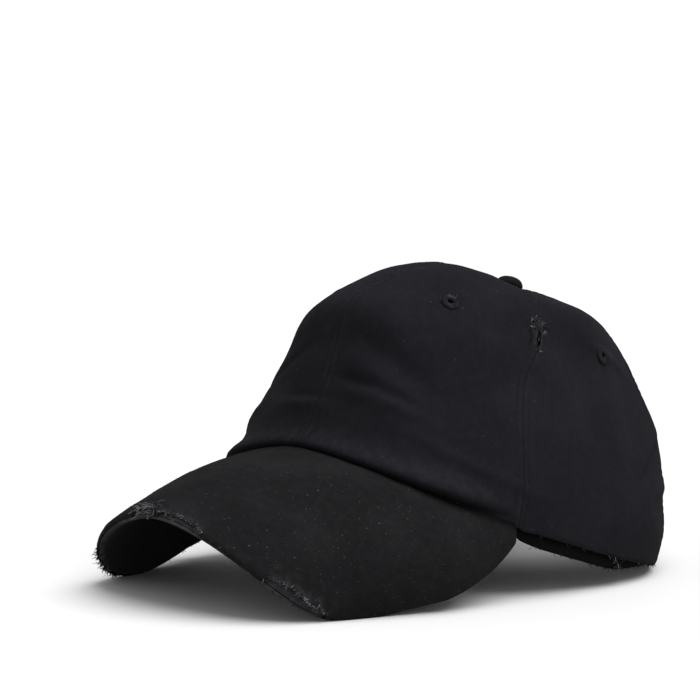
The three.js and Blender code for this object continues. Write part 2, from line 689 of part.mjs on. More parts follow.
// The room that the crown takes up, with the gap at the brim's root round it.
function crownEnvelope() {
  const columns = 60;
  const levels = [-0.14, 0, 0.04, 0.08, 0.12, 0.18, 0.26];
  const points = [new THREE.Vector3(0, 0, crownPoint(Math.PI / 2, levels[0], 0).z)];
  const faces = [];
  for (const level of levels) {
    for (let i = 0; i < columns; i += 1) {
      points.push(crownPoint((2 * Math.PI * i) / columns, level, -ROOT_GAP));
    }
  }
  points.push(new THREE.Vector3(0, 0, crownPoint(0, levels[levels.length - 1], 0).z));
  const top = points.length - 1;
  for (let i = 0; i < columns; i += 1) {
    const next = (i + 1) % columns;
    faces.push(0, 1 + next, 1 + i);
    for (let row = 0; row < levels.length - 1; row += 1) {
      const low = 1 + row * columns;
      const high = low + columns;
      faces.push(low + i, low + next, high + next, low + i, high + next, high + i);
    }
    const last = 1 + (levels.length - 1) * columns;
    faces.push(last + i, last + next, top);
  }
  return toSolid(new THREE.BufferGeometry().setFromPoints(points).setIndex(faces));
}

// One layer of the brim. Layers lie under each other from the top cover down.
function brimLayer({ top, thickness, inset }) {
  const limit = 1 - BRIM_END_TRIM;
  const pointAt = (i, j, inside) => {
    const share = limit * (-1 + (2 * i) / BRIM_COLUMNS);
    return brimPoint(share, 1 - j / BRIM_ROWS, inset, top + inside * thickness);
  };
  return toSolid(slab(BRIM_COLUMNS, BRIM_ROWS, pointAt)).subtract(crownEnvelope());
}

// Lathe turned about +Y from a profile of radius and height pairs.
const turned = (profile, sides) => new THREE.LatheGeometry(
  profile.map(([radius, height]) => new THREE.Vector2(radius, height)),
  sides,
);

function eyeletGeometry() {
  const high = GAP + EYELET_THREAD;
  const low = -(CLOTH + EYELET_ROOM + EYELET_THREAD);
  return turned([
    [EYELET_HOLE_RADIUS, low],
    [EYELET_RADIUS, low],
    [EYELET_RADIUS, low + EYELET_THREAD],
    [EYELET_NECK_RADIUS, low + EYELET_THREAD],
    [EYELET_NECK_RADIUS, high - EYELET_THREAD],
    [EYELET_RADIUS, high - EYELET_THREAD],
    [EYELET_RADIUS * 0.8, high],
    [EYELET_HOLE_RADIUS, high],
    [EYELET_HOLE_RADIUS, low],
  ], ROUND_SIDES);
}

function buttonGeometry() {
  const shank = BUTTON_SHANK_RADIUS;
  const dome = Array.from({ length: 5 }, (_, i) => {
    const a = (Math.PI / 2) * (i / 4);
    return [BUTTON_RADIUS * Math.cos(a), BUTTON_HEIGHT * (0.3 + 0.7 * Math.sin(a))];
  });
  const stem = [[0, -BUTTON_SHANK], [shank, -BUTTON_SHANK], [shank, 0], [BUTTON_RADIUS, 0]];
  return turned([...stem, ...dome], BUTTON_SIDES);
}

// Height at which the button clears the panels under it.
function buttonSeat() {
  const heights = [];
  for (const radius of [BUTTON_SHANK_RADIUS, BUTTON_RADIUS]) {
    for (let i = 0; i < 24; i += 1) {
      heights.push(crownPoint((i * Math.PI) / 12, levelOfRadius(radius), 0).z);
    }
  }
  return Math.max(...heights) + GAP;
}

// How far the cap leans back, and how high it is lifted, to rest on both lobes and the strap.
function restingPose() {
  const lobes = [];
  for (let i = 0; i <= BRIM_COLUMNS; i += 1) {
    const share = (1 - BRIM_END_TRIM) * (-1 + (2 * i) / BRIM_COLUMNS);
    for (const depth of [0, BRIM_THICKNESS]) lobes.push(brimPoint(share, 1, 0, depth));
  }
  const heel = [];
  for (let i = 0; i <= 12; i += 1) {
    const angle = STRAP_LEFT_FROM + ((STRAP_LEFT_TO - STRAP_LEFT_FROM) * i) / 12;
    for (const depth of [0, STRAP_CLOTH]) heel.push(crownPoint(angle, 0, leftStrapDepth(angle) + depth));
  }
  const lowest = (points, lean) => Math.min(
    ...points.map(({ y, z }) => z * Math.cos(lean) - y * Math.sin(lean)),
  );
  let low = 0;
  let high = degToRad(35);
  for (let step = 0; step < 40; step += 1) {
    const middle = (low + high) / 2;
    if (lowest(lobes, middle) < lowest(heel, middle)) low = middle;
    else high = middle;
  }
  return { lean: low, lift: -lowest(heel, low) - FLATTEN };
}

const REST = restingPose();

// Cloth below the surface that the cap rests on is pressed flat onto it.
function pressedFlat(geometry) {
  const up = new THREE.Vector3(0, -Math.sin(REST.lean), Math.cos(REST.lean));
  const position = geometry.getAttribute('position');
  const point = new THREE.Vector3();
  for (let i = 0; i < position.count; i += 1) {
    point.fromBufferAttribute(position, i);
    const height = point.dot(up) + REST.lift;
    if (height < 0) point.addScaledVector(up, -height);
    position.setXYZ(i, point.x, point.y, point.z);
  }
  return geometry;
}

const cap = new THREE.Group();

function addPiece(name, geometry, finish) {
  const piece = new THREE.Mesh(geometry, finish);
  piece.name = name;
  cap.add(piece);
  return piece;
}

function addCrown() {
  const ponytail = outlineCutter(ponytailOutline(HOLE_CUT_STEPS), HOLE_CUT_ROOM);
  const arch = outlineCutter(archCutOutline(), ARCH_CUT_ROOM);
  const slit = outlineCutter(slitOutline(), SLIT_CUT_ROOM);
  for (const panel of PANELS) {
    let solid = panelSolid(panel);
    const eyelet = EYELETS.find(({ name }) => panel.name === `${name.replace('eyelet_', '')}_panel`);
    if (eyelet) solid = solid.subtract(eyeletCutter(eyelet));
    if (panel.name.startsWith('back')) solid = solid.subtract(ponytail).subtract(arch);
    if (panel.name === 'front_left_panel' || panel.name === 'side_left_panel') {
      solid = solid.subtract(slit);
    }
    addPiece(panel.name, fromSolid(solid), CLOTH_FINISH);
  }
  for (const { name, angle } of EYELETS) {
    const ring = addPiece(name, fromSolid(toSolid(eyeletGeometry())), THREAD_FINISH);
    ring.applyMatrix4(seatOnCloth(angle, EYELET_LEVEL));
  }
  const button = addPiece('top_button', fromSolid(toSolid(buttonGeometry())), CLOTH_FINISH);
  button.rotation.x = Math.PI / 2;
  button.position.set(0, TOP_SET_BACK, buttonSeat());
}

function addBrim() {
  const boardTop = BRIM_COVER + GAP;
  const underTop = boardTop + BRIM_BOARD + GAP;
  const cover = { thickness: BRIM_COVER, inset: 0 };
  let topCover = brimLayer({ ...cover, top: 0 });
  for (const bite of BRIM_BITES) topCover = topCover.subtract(biteCutter(bite));
  const board = brimLayer({ top: boardTop, thickness: BRIM_BOARD, inset: BRIM_BOARD_INSET });
  const underCover = brimLayer({ ...cover, top: underTop });
  addPiece('brim_top_cover', pressedFlat(fromSolid(topCover)), BRIM_FINISH);
  addPiece('brim_board', pressedFlat(fromSolid(board)), BOARD_FINISH);
  addPiece('brim_under_cover', pressedFlat(fromSolid(underCover)), BRIM_FINISH);
}

function addBack() {
  const ponytail = bindingSections(ponytailOutline(HOLE_STEPS), true, ({ level }) => {
    const open = smoothstep(level, PONYTAIL_TIP_LEVEL, lerp(PONYTAIL_TIP_LEVEL, PONYTAIL_TOP_LEVEL, 0.4));
    return lerp(PONYTAIL_BINDING_TIP, PONYTAIL_BINDING_WIDTH, open);
  });
  addPiece('ponytail_binding', fromSolid(toSolid(sweep(ponytail, true, []))), CLOTH_FINISH);
  const arch = bindingSections(archOutline(ARCH_STEPS), false, () => ARCH_BINDING_WIDTH);
  addPiece('strap_opening_binding', fromSolid(toSolid(sweep(arch, false, BINDING_CAP))), CLOTH_FINISH);
  const strap = { low: () => 0, high: STRAP_HEIGHT, thickness: STRAP_CLOTH };
  const left = hemStrip({
    ...strap,
    from: STRAP_LEFT_FROM,
    to: STRAP_LEFT_TO,
    depthAt: leftStrapDepth,
  });
  const right = hemStrip({
    ...strap,
    from: STRAP_RIGHT_FROM,
    to: STRAP_RIGHT_TO,
    depthAt: () => STRAP_TUCKED_DEPTH,
  });
  addPiece('strap_left', pressedFlat(left), CLOTH_FINISH);
  addPiece('strap_right', pressedFlat(right), CLOTH_FINISH);
  const patchMiddle = (STRAP_RIGHT_FROM + STRAP_LEFT_TO) / 2;
  const patchHalf = PATCH_LENGTH / 2 / HEM_ARC;
  const margin = (STRAP_HEIGHT - PATCH_HEIGHT) / 2;
  const patch = hemStrip({
    from: patchMiddle - patchHalf,
    to: patchMiddle + patchHalf,
    low: () => margin,
    high: margin + PATCH_HEIGHT,
    thickness: PATCH_CLOTH,
    depthAt: () => STRAP_TUCKED_DEPTH - LAID_GAP - PATCH_CLOTH,
  });
  addPiece('closure_patch', patch, BAND_FINISH);
}

function addSweatband() {
  const drop = (angle) => {
    const away = Math.abs(angle);
    const behindBrim = smoothstep(away, BRIM_END - SWEATBAND_STEP_BEFORE, BRIM_END + HEM_STEP_AFTER);
    return -SWEATBAND_DROP * behindBrim * (1 - smoothstep(away, SWEATBAND_RISE_FROM, SWEATBAND_END));
  };
  const band = hemStrip({
    from: -SWEATBAND_END,
    to: SWEATBAND_END,
    low: drop,
    high: SWEATBAND_HEIGHT,
    thickness: SWEATBAND_CLOTH,
    depthAt: (angle, level) => CLOTH + LAID_GAP + Math.max(foldRise(angle, level), 0),
  });
  addPiece('sweatband', band, BAND_FINISH);
}

addCrown();
addBrim();
addBack();
addSweatband();

cap.rotation.x = -REST.lean;
cap.position.z = REST.lift;

// The origin is at the middle of the part's box, on the surface that it rests on.
const part = new THREE.Group();
part.add(cap);
part.updateMatrixWorld(true);
const middle = new THREE.Box3().setFromObject(cap, true).getCenter(new THREE.Vector3());
cap.position.x -= middle.x;
cap.position.y -= middle.y;

export default part;
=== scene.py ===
"""Looks of a worn black ponytail cap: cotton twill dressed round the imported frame.

Shapes are worked out in millimetres in the cap's own frame, with the crown's axis upright, the
front toward -Y and the wearer's left toward +X. RestPose then leans the cap back onto the surface
that it rests on and turns millimetres into metres.
"""

import json
import logging
import math
import random
from dataclasses import dataclass, field
from enum import Enum
from math import cos, exp, hypot, pi, radians, sin
from typing import Callable, NamedTuple, Sequence

import bmesh
import bpy
from bpy.types import Material, Mesh, Node, NodeSocket, NodeTree, Object
from mathutils import Matrix, Vector, noise

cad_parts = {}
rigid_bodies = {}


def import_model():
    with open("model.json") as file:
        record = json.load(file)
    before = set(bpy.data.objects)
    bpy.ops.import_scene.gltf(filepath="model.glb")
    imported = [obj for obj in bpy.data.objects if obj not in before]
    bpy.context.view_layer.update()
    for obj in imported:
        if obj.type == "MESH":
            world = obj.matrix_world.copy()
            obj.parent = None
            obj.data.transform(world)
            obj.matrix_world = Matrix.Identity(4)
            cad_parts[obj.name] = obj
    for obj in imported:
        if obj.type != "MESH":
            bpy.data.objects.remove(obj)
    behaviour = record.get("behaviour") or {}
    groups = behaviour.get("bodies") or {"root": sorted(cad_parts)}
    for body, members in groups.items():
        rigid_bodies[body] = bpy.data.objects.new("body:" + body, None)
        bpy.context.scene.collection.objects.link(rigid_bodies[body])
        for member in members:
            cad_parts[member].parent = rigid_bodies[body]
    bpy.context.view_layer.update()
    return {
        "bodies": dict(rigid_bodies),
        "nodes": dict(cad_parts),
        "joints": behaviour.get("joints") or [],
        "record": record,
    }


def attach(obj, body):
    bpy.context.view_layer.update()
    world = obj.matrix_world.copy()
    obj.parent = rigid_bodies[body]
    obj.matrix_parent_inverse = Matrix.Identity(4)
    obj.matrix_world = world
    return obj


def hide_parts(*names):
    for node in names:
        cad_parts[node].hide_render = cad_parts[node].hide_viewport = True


LOG = logging.getLogger("cap")
MM = 0.001
Pair = tuple[float, float]
Tone = tuple[float, float, float]
CutTest = Callable[[float, float], bool]
Curve = Callable[[float], float]


class Slot(Enum):
    """Material slots of the record."""

    CROWN = "crown_cloth"
    BRIM = "brim_cloth"
    BOARD = "brim_board"
    BAND = "band_cloth"
    THREAD = "eyelet_thread"


class Side(Enum):
    """Which way a sheet's outside looks: away from the head, or in toward it."""

    OUT = 1
    IN = -1


def clamp(value: float, low: float, high: float) -> float:
    """Returns the value, kept between two ends."""
    return max(low, min(high, value))


def lerp(a: float, b: float, share: float) -> float:
    """Returns the value a share of the way from a to b."""
    return a + (b - a) * share


def smoothstep(value: float, low: float, high: float) -> float:
    """Returns 0 below low, 1 above high and an easy curve between them."""
    share = clamp((value - low) / (high - low), 0.0, 1.0)
    return share * share * (3 - 2 * share)


def signed_power(value: float, power: float) -> float:
    """Returns the power of a value's size, with the value's sign."""
    return math.copysign(abs(value) ** power, value)


def wrap_angle(angle: float) -> float:
    """Returns the angle turned into the range from -180 to 180 degrees."""
    return (angle + pi) % (2 * pi) - pi


def bell(value: float, middle: float, spread: float) -> float:
    """Returns a smooth bump of height 1 about its middle."""
    return exp(-(((value - middle) / spread) ** 2))


def ripple(point: Vector, size: float, seed: float = 0.0) -> float:
    """Returns smooth noise between about -1 and 1 with features of the given size."""
    return noise.noise(point / size + Vector((seed, seed * 1.7, -seed)))


def patchy(point: Vector, size: float, seed: float, base: float = 0.4, swing: float = 1.0) -> float:
    """Returns a share from 0 to 1 that comes and goes over the cloth."""
    return clamp(base + swing * ripple(point, size, seed), 0, 1)


def new_object(name: str, data: object) -> Object:
    """Returns a new object, placed in the scene."""
    made = bpy.data.objects.new(name, data)
    bpy.context.scene.collection.objects.link(made)
    return made


def finished_mesh(bm: bmesh.types.BMesh, name: str) -> Mesh:
    """Returns a shaped bmesh as a mesh, and frees it."""
    mesh = bpy.data.meshes.new(name)
    bm.to_mesh(mesh)
    bm.free()
    return mesh


@dataclass(frozen=True)
class RestPose:
    """How the cap leans back, and where it stands on its surface."""

    lean: float = radians(14.4416)
    set_back: float = 43.871
    lift: float = 21.293

    def place(self, point: Vector) -> Vector:
        """Places a point of the cap in the room.

        Args:
            point: Place in the cap's own frame, in millimetres.

        Returns:
            The place in metres, pressed flat where it would pass the surface below.
        """
        c, s = cos(self.lean), sin(self.lean)
        y = point.y * c + point.z * s + self.set_back
        z = -point.y * s + point.z * c + self.lift
        return Vector((point.x, y, max(z, 0.0))) * MM

    def turn(self, way: Vector) -> Vector:
        """Returns a direction of the cap's own frame as a direction in the room."""
        return Matrix.Rotation(-self.lean, 3, "X") @ way


class Fold(NamedTuple):
    """A soft crease or ridge: where it lies, how it runs and how far it lifts the cloth."""

    angle: float
    level: float
    run: float
    length: float
    width: float
    rise: float


class Frame(NamedTuple):
    """Ways along, up and straight out of a surface."""

    along: Vector
    up: Vector
    out: Vector


@dataclass(frozen=True)
class CrownShape:
    """The crown's outer surface over angles from the front and levels from the hem."""

    half_width: float = 83.7
    front_reach: float = 114.8
    back_reach: float = 88.3
    height: float = 106.7
    front_squareness: float = 2.64
    back_squareness: float = 2.12
    rear_rim_height: float = 1.9
    side_rim_lift: float = -3.4
    top_set_back: float = -1.9
    front_puff: float = 5.1
    puff_level: float = 0.78
    puff_spread: float = 0.095
    puff_power: float = 0.83
    seam_dip: float = 3.9
    dip_level: float = 0.86
    dip_spread: float = 0.12
    dip_turn: float = radians(25)
    front_seam: float = radians(59)
    rear_seam: float = radians(122)
    seam_bow: float = radians(6.8)
    bow_level: float = 0.61
    bow_spread: float = 0.12
    bow_turn: float = radians(25)
    cloth: float = 1.3
    brim_thickness: float = 4.0
    root_gap: float = 0.35
    brim_end: float = radians(60.5)
    brim_side_margin: float = 0.8
    arch_depth: float = 43.2
    arch_point: float = 1.17
    brim_slope: float = radians(18.9)
    brim_root_height: float = 8.2
    roll_rise: float = 2.6
    roll_level: float = 0.075
    roll_spread: float = 0.045
    roll_fullness: float = 2.4
    roll_run: float = radians(20)
    brim_reach: float = 81.1
    brim_droop: float = 14.8
    hem_before: float = radians(18)
    hem_after: float = radians(6)
    panel_length: float = 1.3
    sections: tuple = (
        (0.00, 1.00, 1.00, 1.00),
        (0.17, 0.97, 1.00, 1.09),
        (0.45, 0.84, 0.95, 1.10),
        (0.69, 0.695, 0.905, 0.92),
        (0.91, 0.53, 0.50, 0.46),
        (1.00, 0.00, 0.00, 0.00),
    )
    folds: tuple = (
        Fold(24, 0.40, -20, 0.22, 0.05, -0.016),
        Fold(22, 0.33, -22, 0.24, 0.06, 0.016),
        Fold(-8, 0.30, 5, 0.16, 0.05, -0.012),
        Fold(74, 0.62, -75, 0.20, 0.07, -0.014),
        Fold(150, 0.33, 10, 0.30, 0.06, -0.020),
    )
    creases: tuple = (
        Fold(13, 0.328, -1, 0.12, 0.017, -0.016),
        Fold(26, 0.313, -9, 0.10, 0.018, -0.015),
        Fold(18, 0.29, -4, 0.18, 0.030, 0.010),
        Fold(-8, 0.273, -3, 0.10, 0.013, -0.014),
        Fold(-8, 0.246, -3, 0.12, 0.022, 0.010),
        Fold(96.8, 0.655, -12, 0.13, 0.020, 0.014),
        Fold(112, 0.36, 34, 0.15, 0.018, -0.018),
        Fold(117, 0.295, 12, 0.12, 0.034, 0.020),
        Fold(122, 0.45, 40, 0.12, 0.04, 0.010),
        Fold(-100, 0.42, 58, 0.20, 0.024, 0.013),
        Fold(-84, 0.50, 64, 0.22, 0.024, -0.012),
        Fold(-70, 0.62, 50, 0.16, 0.022, 0.011),
        Fold(140, 0.62, 70, 0.16, 0.020, -0.012),
        Fold(-146, 0.52, -66, 0.16, 0.022, -0.012),
        Fold(44, 0.20, -12, 0.24, 0.028, 0.010),
        Fold(-40, 0.22, 14, 0.22, 0.026, 0.012),
        Fold(-26, 0.36, 24, 0.16, 0.020, -0.013),
    )

    def plan_share(self, angle: float, level: float) -> Pair:
        """Plan outline at an angle: a superellipse that turns round toward the top.

        Args:
            angle: Angle from the front, in radians.
            level: Level from the hem, 0 to 1.

        Returns:
            Unit shares sideways and ahead.
        """
        side, ahead = sin(angle), cos(angle)
        mean = (self.front_squareness + self.back_squareness) / 2
        own = self.front_squareness if ahead > 0 else self.back_squareness
        power = 2 + (mean + (own - mean) * abs(ahead) - 2) * (1 - clamp(level, 0, 1))
        reach = (abs(side) ** power + abs(ahead) ** power) ** (-1 / power)
        return reach * side, reach * ahead

    def section_at(self, level: float) -> tuple[float, ...]:
        """Smooth section between the rows of the table, mirrored past the top.

        Args:
            level: Place up the table, 0 to 1.

        Returns:
            Height, half width, front reach and back reach, as shares.
        """
        rows = self.sections
        before = [2 * first - second for first, second in zip(rows[0], rows[1])]
        after = [value * sign for value, sign in zip(rows[-2], (1, -1, -1, -1))]
        place = clamp(level, 0, 1) * (len(rows) - 1)
        row = min(int(place), len(rows) - 2)
        f = place - row
        shares = []
        for a, b, c, d in zip(*(before, *rows, after)[row:row + 4]):
            square = (2 * a - 5 * b + 4 * c - d) * f * f
            shares.append((2 * b + (c - a) * f + square + (3 * b - a - 3 * c + d) * f ** 3) / 2)
        return tuple(shares)

    @property
    def brim_half_width(self) -> float:
        """Half width of the brim's arch at its root."""
        return self.half_width * self.plan_share(self.brim_end, 0)[0] + self.brim_side_margin

    def brim_root(self, angle: float) -> Pair:
        """Returns the bend and the reach at which the brim's sheet meets the crown."""
        side, ahead = self.plan_share(abs(angle), 0)
        across = clamp(self.half_width * side / self.brim_half_width, 0, 1)
        bend = math.asin(across ** (1 / self.arch_point))
        drop = self.arch_depth * (1 - cos(bend))
        back = self.front_reach * (1 - ahead) - drop * sin(self.brim_slope)
        return math.copysign(bend, angle), -back / cos(self.brim_slope)

    def root_height(self, angle: float) -> float:
        """Returns the height of the brim's top where it meets the crown."""
        bend, reach = self.brim_root(angle)
        drop = self.arch_depth * (1 - cos(bend))
        fall = reach * sin(self.brim_slope) + drop * cos(self.brim_slope)
        share = reach / self.brim_reach
        return self.brim_root_height - fall - self.brim_droop * share * abs(share)

    def hem_height(self, angle: float) -> float:
        """Height of the crown's lower edge, which backs the brim's thickness in front.

        Args:
            angle: Angle from the front, in radians.

        Returns:
            The height in millimetres.
        """
        away = abs(wrap_angle(angle))
        height = self.root_height(min(away, self.brim_end))
        if away > self.brim_end:
            share = (away - self.brim_end) / (pi - self.brim_end)
            run = smoothstep(share, 0, 1)
            lift = self.side_rim_lift * sin(pi * share)
            height = height * (1 - run) + self.rear_rim_height * run + lift
        behind = smoothstep(away, self.brim_end - self.hem_before, self.brim_end + self.hem_after)
        return height - (self.brim_thickness + self.root_gap) * (1 - behind)

    def base(self, angle: float, level: float) -> Vector:
        """Returns a point of the crown without folds or relief."""
        height, width, front, back = self.section_at(level)
        side, ahead = self.plan_share(angle, level)
        fade = (1 - clamp(level, 0, 1)) ** 1.5
        set_back = self.top_set_back * clamp(level, 0, 1) ** 2
        puffed = max(ahead, 0) ** self.puff_power * bell(level, self.puff_level, self.puff_spread)
        off_seam = abs(wrap_angle(angle)) - self.front_seam
        dipped = bell(off_seam, 0, self.dip_turn) * bell(level, self.dip_level, self.dip_spread)
        puff = self.front_puff * puffed - self.seam_dip * dipped
        reach = -self.front_reach * front if ahead > 0 else -self.back_reach * back
        z = self.height * (height + min(level, 0)) + self.hem_height(angle) * fade + puff
        return Vector((self.half_width * width * side, reach * ahead + set_back, z))

    def bow(self, angle: float, level: float) -> float:
        """Returns how far the seams by the front panels bow toward the back near an angle."""
        away = wrap_angle(angle)
        near = bell(abs(away) - self.front_seam, 0, self.bow_turn) * smoothstep(abs(away), 0, 0.35)
        high = bell(level, self.bow_level, self.bow_spread)
        return math.copysign(self.seam_bow, away) * near * high

    def frame(self, angle: float, level: float) -> Frame:
        """Returns how the surface runs: per radian, per level, and straight out."""
        step = 0.01
        at = clamp(level, 0, 1 - 2 * step)
        along = self.base(angle + step, at) - self.base(angle - step, at)
        up = self.base(angle, at + step) - self.base(angle, at)
        return Frame(along / (2 * step), up / step, along.cross(up).normalized())

    def fold_rise(self, angle: float, level: float, folds: Sequence[Fold]) -> float:
        """Returns how far the named folds lift the cloth, in millimetres."""
        rise = 0.0
        for fold in folds:
            run = radians(fold.run)
            beside = wrap_angle(angle - radians(fold.angle)) * self.half_width
            above = (level - fold.level) * self.height * self.panel_length
            along = (beside * cos(run) + above * sin(run)) / (fold.length * self.height)
            across = (above * cos(run) - beside * sin(run)) / (fold.width * self.height)
            rise += fold.rise * self.height * exp(-along * along - across * across)
        return rise

    def over_brim(self, angle: float) -> float:
        """Returns 1 over the brim's root and 0 behind its ends."""
        away = abs(wrap_angle(angle))
        return 1 - smoothstep(away, self.brim_end - self.roll_run, self.brim_end)

    def main_rise(self, angle: float, level: float) -> float:
        """Returns the lift of the roll and the main folds, as the frame has it."""
        roll = self.roll_rise * self.over_brim(angle)
        roll *= bell(level, self.roll_level, self.roll_spread)
        return roll + self.fold_rise(angle, level, self.folds)

    def soft_rise(self, angle: float, level: float) -> float:
        """Returns the lift of the small creases and the cloth's own unevenness."""
        spot = self.base(angle, level)
        calm = smoothstep(level, 0.0, 0.16) * (1 - 0.6 * smoothstep(level, 0.85, 1))
        uneven = 0.75 * ripple(spot, 34, 3) + 0.42 * ripple(spot, 15, 8) + 0.16 * ripple(spot, 6, 5)
        full = self.roll_fullness * self.over_brim(angle) * (1 + 0.45 * ripple(spot, 18, 1))
        full *= smoothstep(level, 0.03, 0.05) * (1 - clamp((level - 0.05) / 0.15, 0, 1)) ** 1.4
        return calm * (uneven + self.fold_rise(angle, level, self.creases)) + full

    def point(self, angle: float, level: float, depth: float) -> Vector:
        """Returns a point of the dressed crown at a depth under its outer surface."""
        return self.ply(angle, level, depth - self.soft_rise(angle, level))

    def ply(self, angle: float, level: float, depth: float) -> Vector:
        """Returns a point of a plain layer at a depth under the crown's main form."""
        rise = self.main_rise(angle, level) - depth
        return self.base(angle, level) + self.frame(angle, level).out * rise

    def level_up(self, angle: float, height: float) -> float:
        """Returns the level of a point that lies a height up the cloth from the hem."""
        return height / self.frame(angle, 0).up.length

    def level_of_radius(self, radius: float) -> float:
        """Returns the level at which the crown is as wide as a round hole in its top."""
        low, high = 0.5, 1.0
        for _ in range(40):
            middle = (low + high) / 2
            if self.half_width * self.section_at(middle)[1] > radius:
                low = middle
            else:
                high = middle
        return low

    def even_levels(self, angle: float, low: float, high: float, count: int) -> list[Pair]:
        """Levels that lie evenly up the cloth.

        Args:
            angle: Angle of the meridian that is measured.
            low: Level of the first place.
            high: Level of the last place.
            count: How many steps there are between them.

        Returns:
            The levels, each with its way up the cloth in millimetres.
        """
        steps = 400
        fine = [lerp(low, high, i / steps) for i in range(steps + 1)]
        ways = [0.0]
        spots = [self.base(angle, level) for level in fine]
        for before, after in zip(spots, spots[1:]):
            ways.append(ways[-1] + (after - before).length)
        levels, i = [], 0
        for step in range(count + 1):
            way = ways[-1] * step / count
            while i < steps - 1 and ways[i + 1] < way:
                i += 1
            share = (way - ways[i]) / max(ways[i + 1] - ways[i], 1e-9)
            levels.append((lerp(fine[i], fine[i + 1], share), way))
        return levels


class Spot(NamedTuple):
    """One point of a sheet: its place, its place on the cloth, and how worn it is there; values
    below 0 paint shade.
    """

    place: Vector
    cloth: Pair
    wear_and_shade: float = 0.0


@dataclass
class Finisher:
    """Turns finished meshes into pieces that ride on the frame."""

    pose: RestPose
    materials: dict[Slot, Material]

    def add(self, name: str, mesh: Mesh, slot: Slot, nodes: Sequence[str] = (),
            finish: Material | None = None) -> Object:
        """Adds a piece to the scene.

        Args:
            name: The piece's name.
            mesh: Its mesh, in metres and in place.
            slot: The record's slot that it takes its finish from.
            nodes: The frame's nodes that it stands for.
            finish: A finish of its own, where it isn't the slot's.

        Returns:
            The new object.
        """
        piece = new_object(name, mesh)
        mesh.materials.clear()
        mesh.materials.append(finish or self.materials[slot])
        for face in mesh.polygons:
            face.use_smooth = True
        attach(piece, "root")
        if nodes:
            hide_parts(*nodes)
        LOG.info("%s: %d faces", name, len(mesh.polygons))
        return piece

    def lay(self, sheet: "ClothSheet", slot: Slot, thickness: float, nodes: Sequence[str] = (),
            cut: CutTest | None = None, finish: Material | None = None) -> None:
        """Weaves a sheet and adds it with its cloth thickness.

        Args:
            sheet: The sheet.
            slot: The record's slot that it takes its finish from.
            thickness: How thick it is, inward from its outside, in millimetres.
            nodes: The frame's nodes that it stands for.
            cut: Tells where the cloth is cut away.
            finish: A finish of its own, where it isn't the slot's.
        """
        piece = self.add(sheet.name, sheet.weave(self.pose, cut), slot, nodes, finish)
        wall = piece.modifiers.new("cloth", "SOLIDIFY")
        wall.thickness = thickness * MM
        wall.offset = -1
        wall.use_rim = True
        wall.use_even_offset = False

    def sew_on(self, work: "ThreadWork", slot: Slot = Slot.THREAD,
               finish: Material | None = None) -> None:
        """Adds all strands of a work as one piece."""
        self.add(work.name, work.mesh(), slot, finish=finish)


@dataclass(frozen=True)
class ClothSheet:
    """A sheet of cloth from a plane grid, laid in place point by point."""

    name: str
    across: int
    up: int
    spot_at: Callable[[float, float], Spot]
    closed: bool = False
    side: Side = Side.OUT

    def weave(self, pose: RestPose, cut: CutTest | None = None) -> Mesh:
        """Lays the sheet.

        Args:
            pose: How the cap stands in the room.
            cut: Tells whether the cloth is cut away at a share across and a share up.

        Returns:
            The mesh in metres, with its cloth map and its attribute of worn places and painted
            shade.
        """
        bm = bmesh.new()
        bmesh.ops.create_grid(bm, x_segments=self.across, y_segments=self.up, size=0.5)
        cloth = bm.loops.layers.uv.new("cloth")
        wear_and_shade = bm.verts.layers.float.new("wear_and_shade")
        if cut:
            centres = ((face, face.calc_center_median()) for face in bm.faces)
            gone = [face for face, middle in centres if cut(middle.x + 0.5, middle.y + 0.5)]
            bmesh.ops.delete(bm, geom=gone, context="FACES")
        spots = {vert: self.spot_at(vert.co.x + 0.5, vert.co.y + 0.5) for vert in bm.verts}
        for face in bm.faces:
            for loop in face.loops:
                loop[cloth].uv = spots[loop.vert].cloth
        for vert, spot in spots.items():
            vert.co = pose.place(spot.place)
            vert[wear_and_shade] = spot.wear_and_shade
        if self.closed:
            bmesh.ops.remove_doubles(bm, verts=bm.verts, dist=1e-6)
        if self.side is Side.IN:
            bmesh.ops.reverse_faces(bm, faces=bm.faces)
        return finished_mesh(bm, self.name)


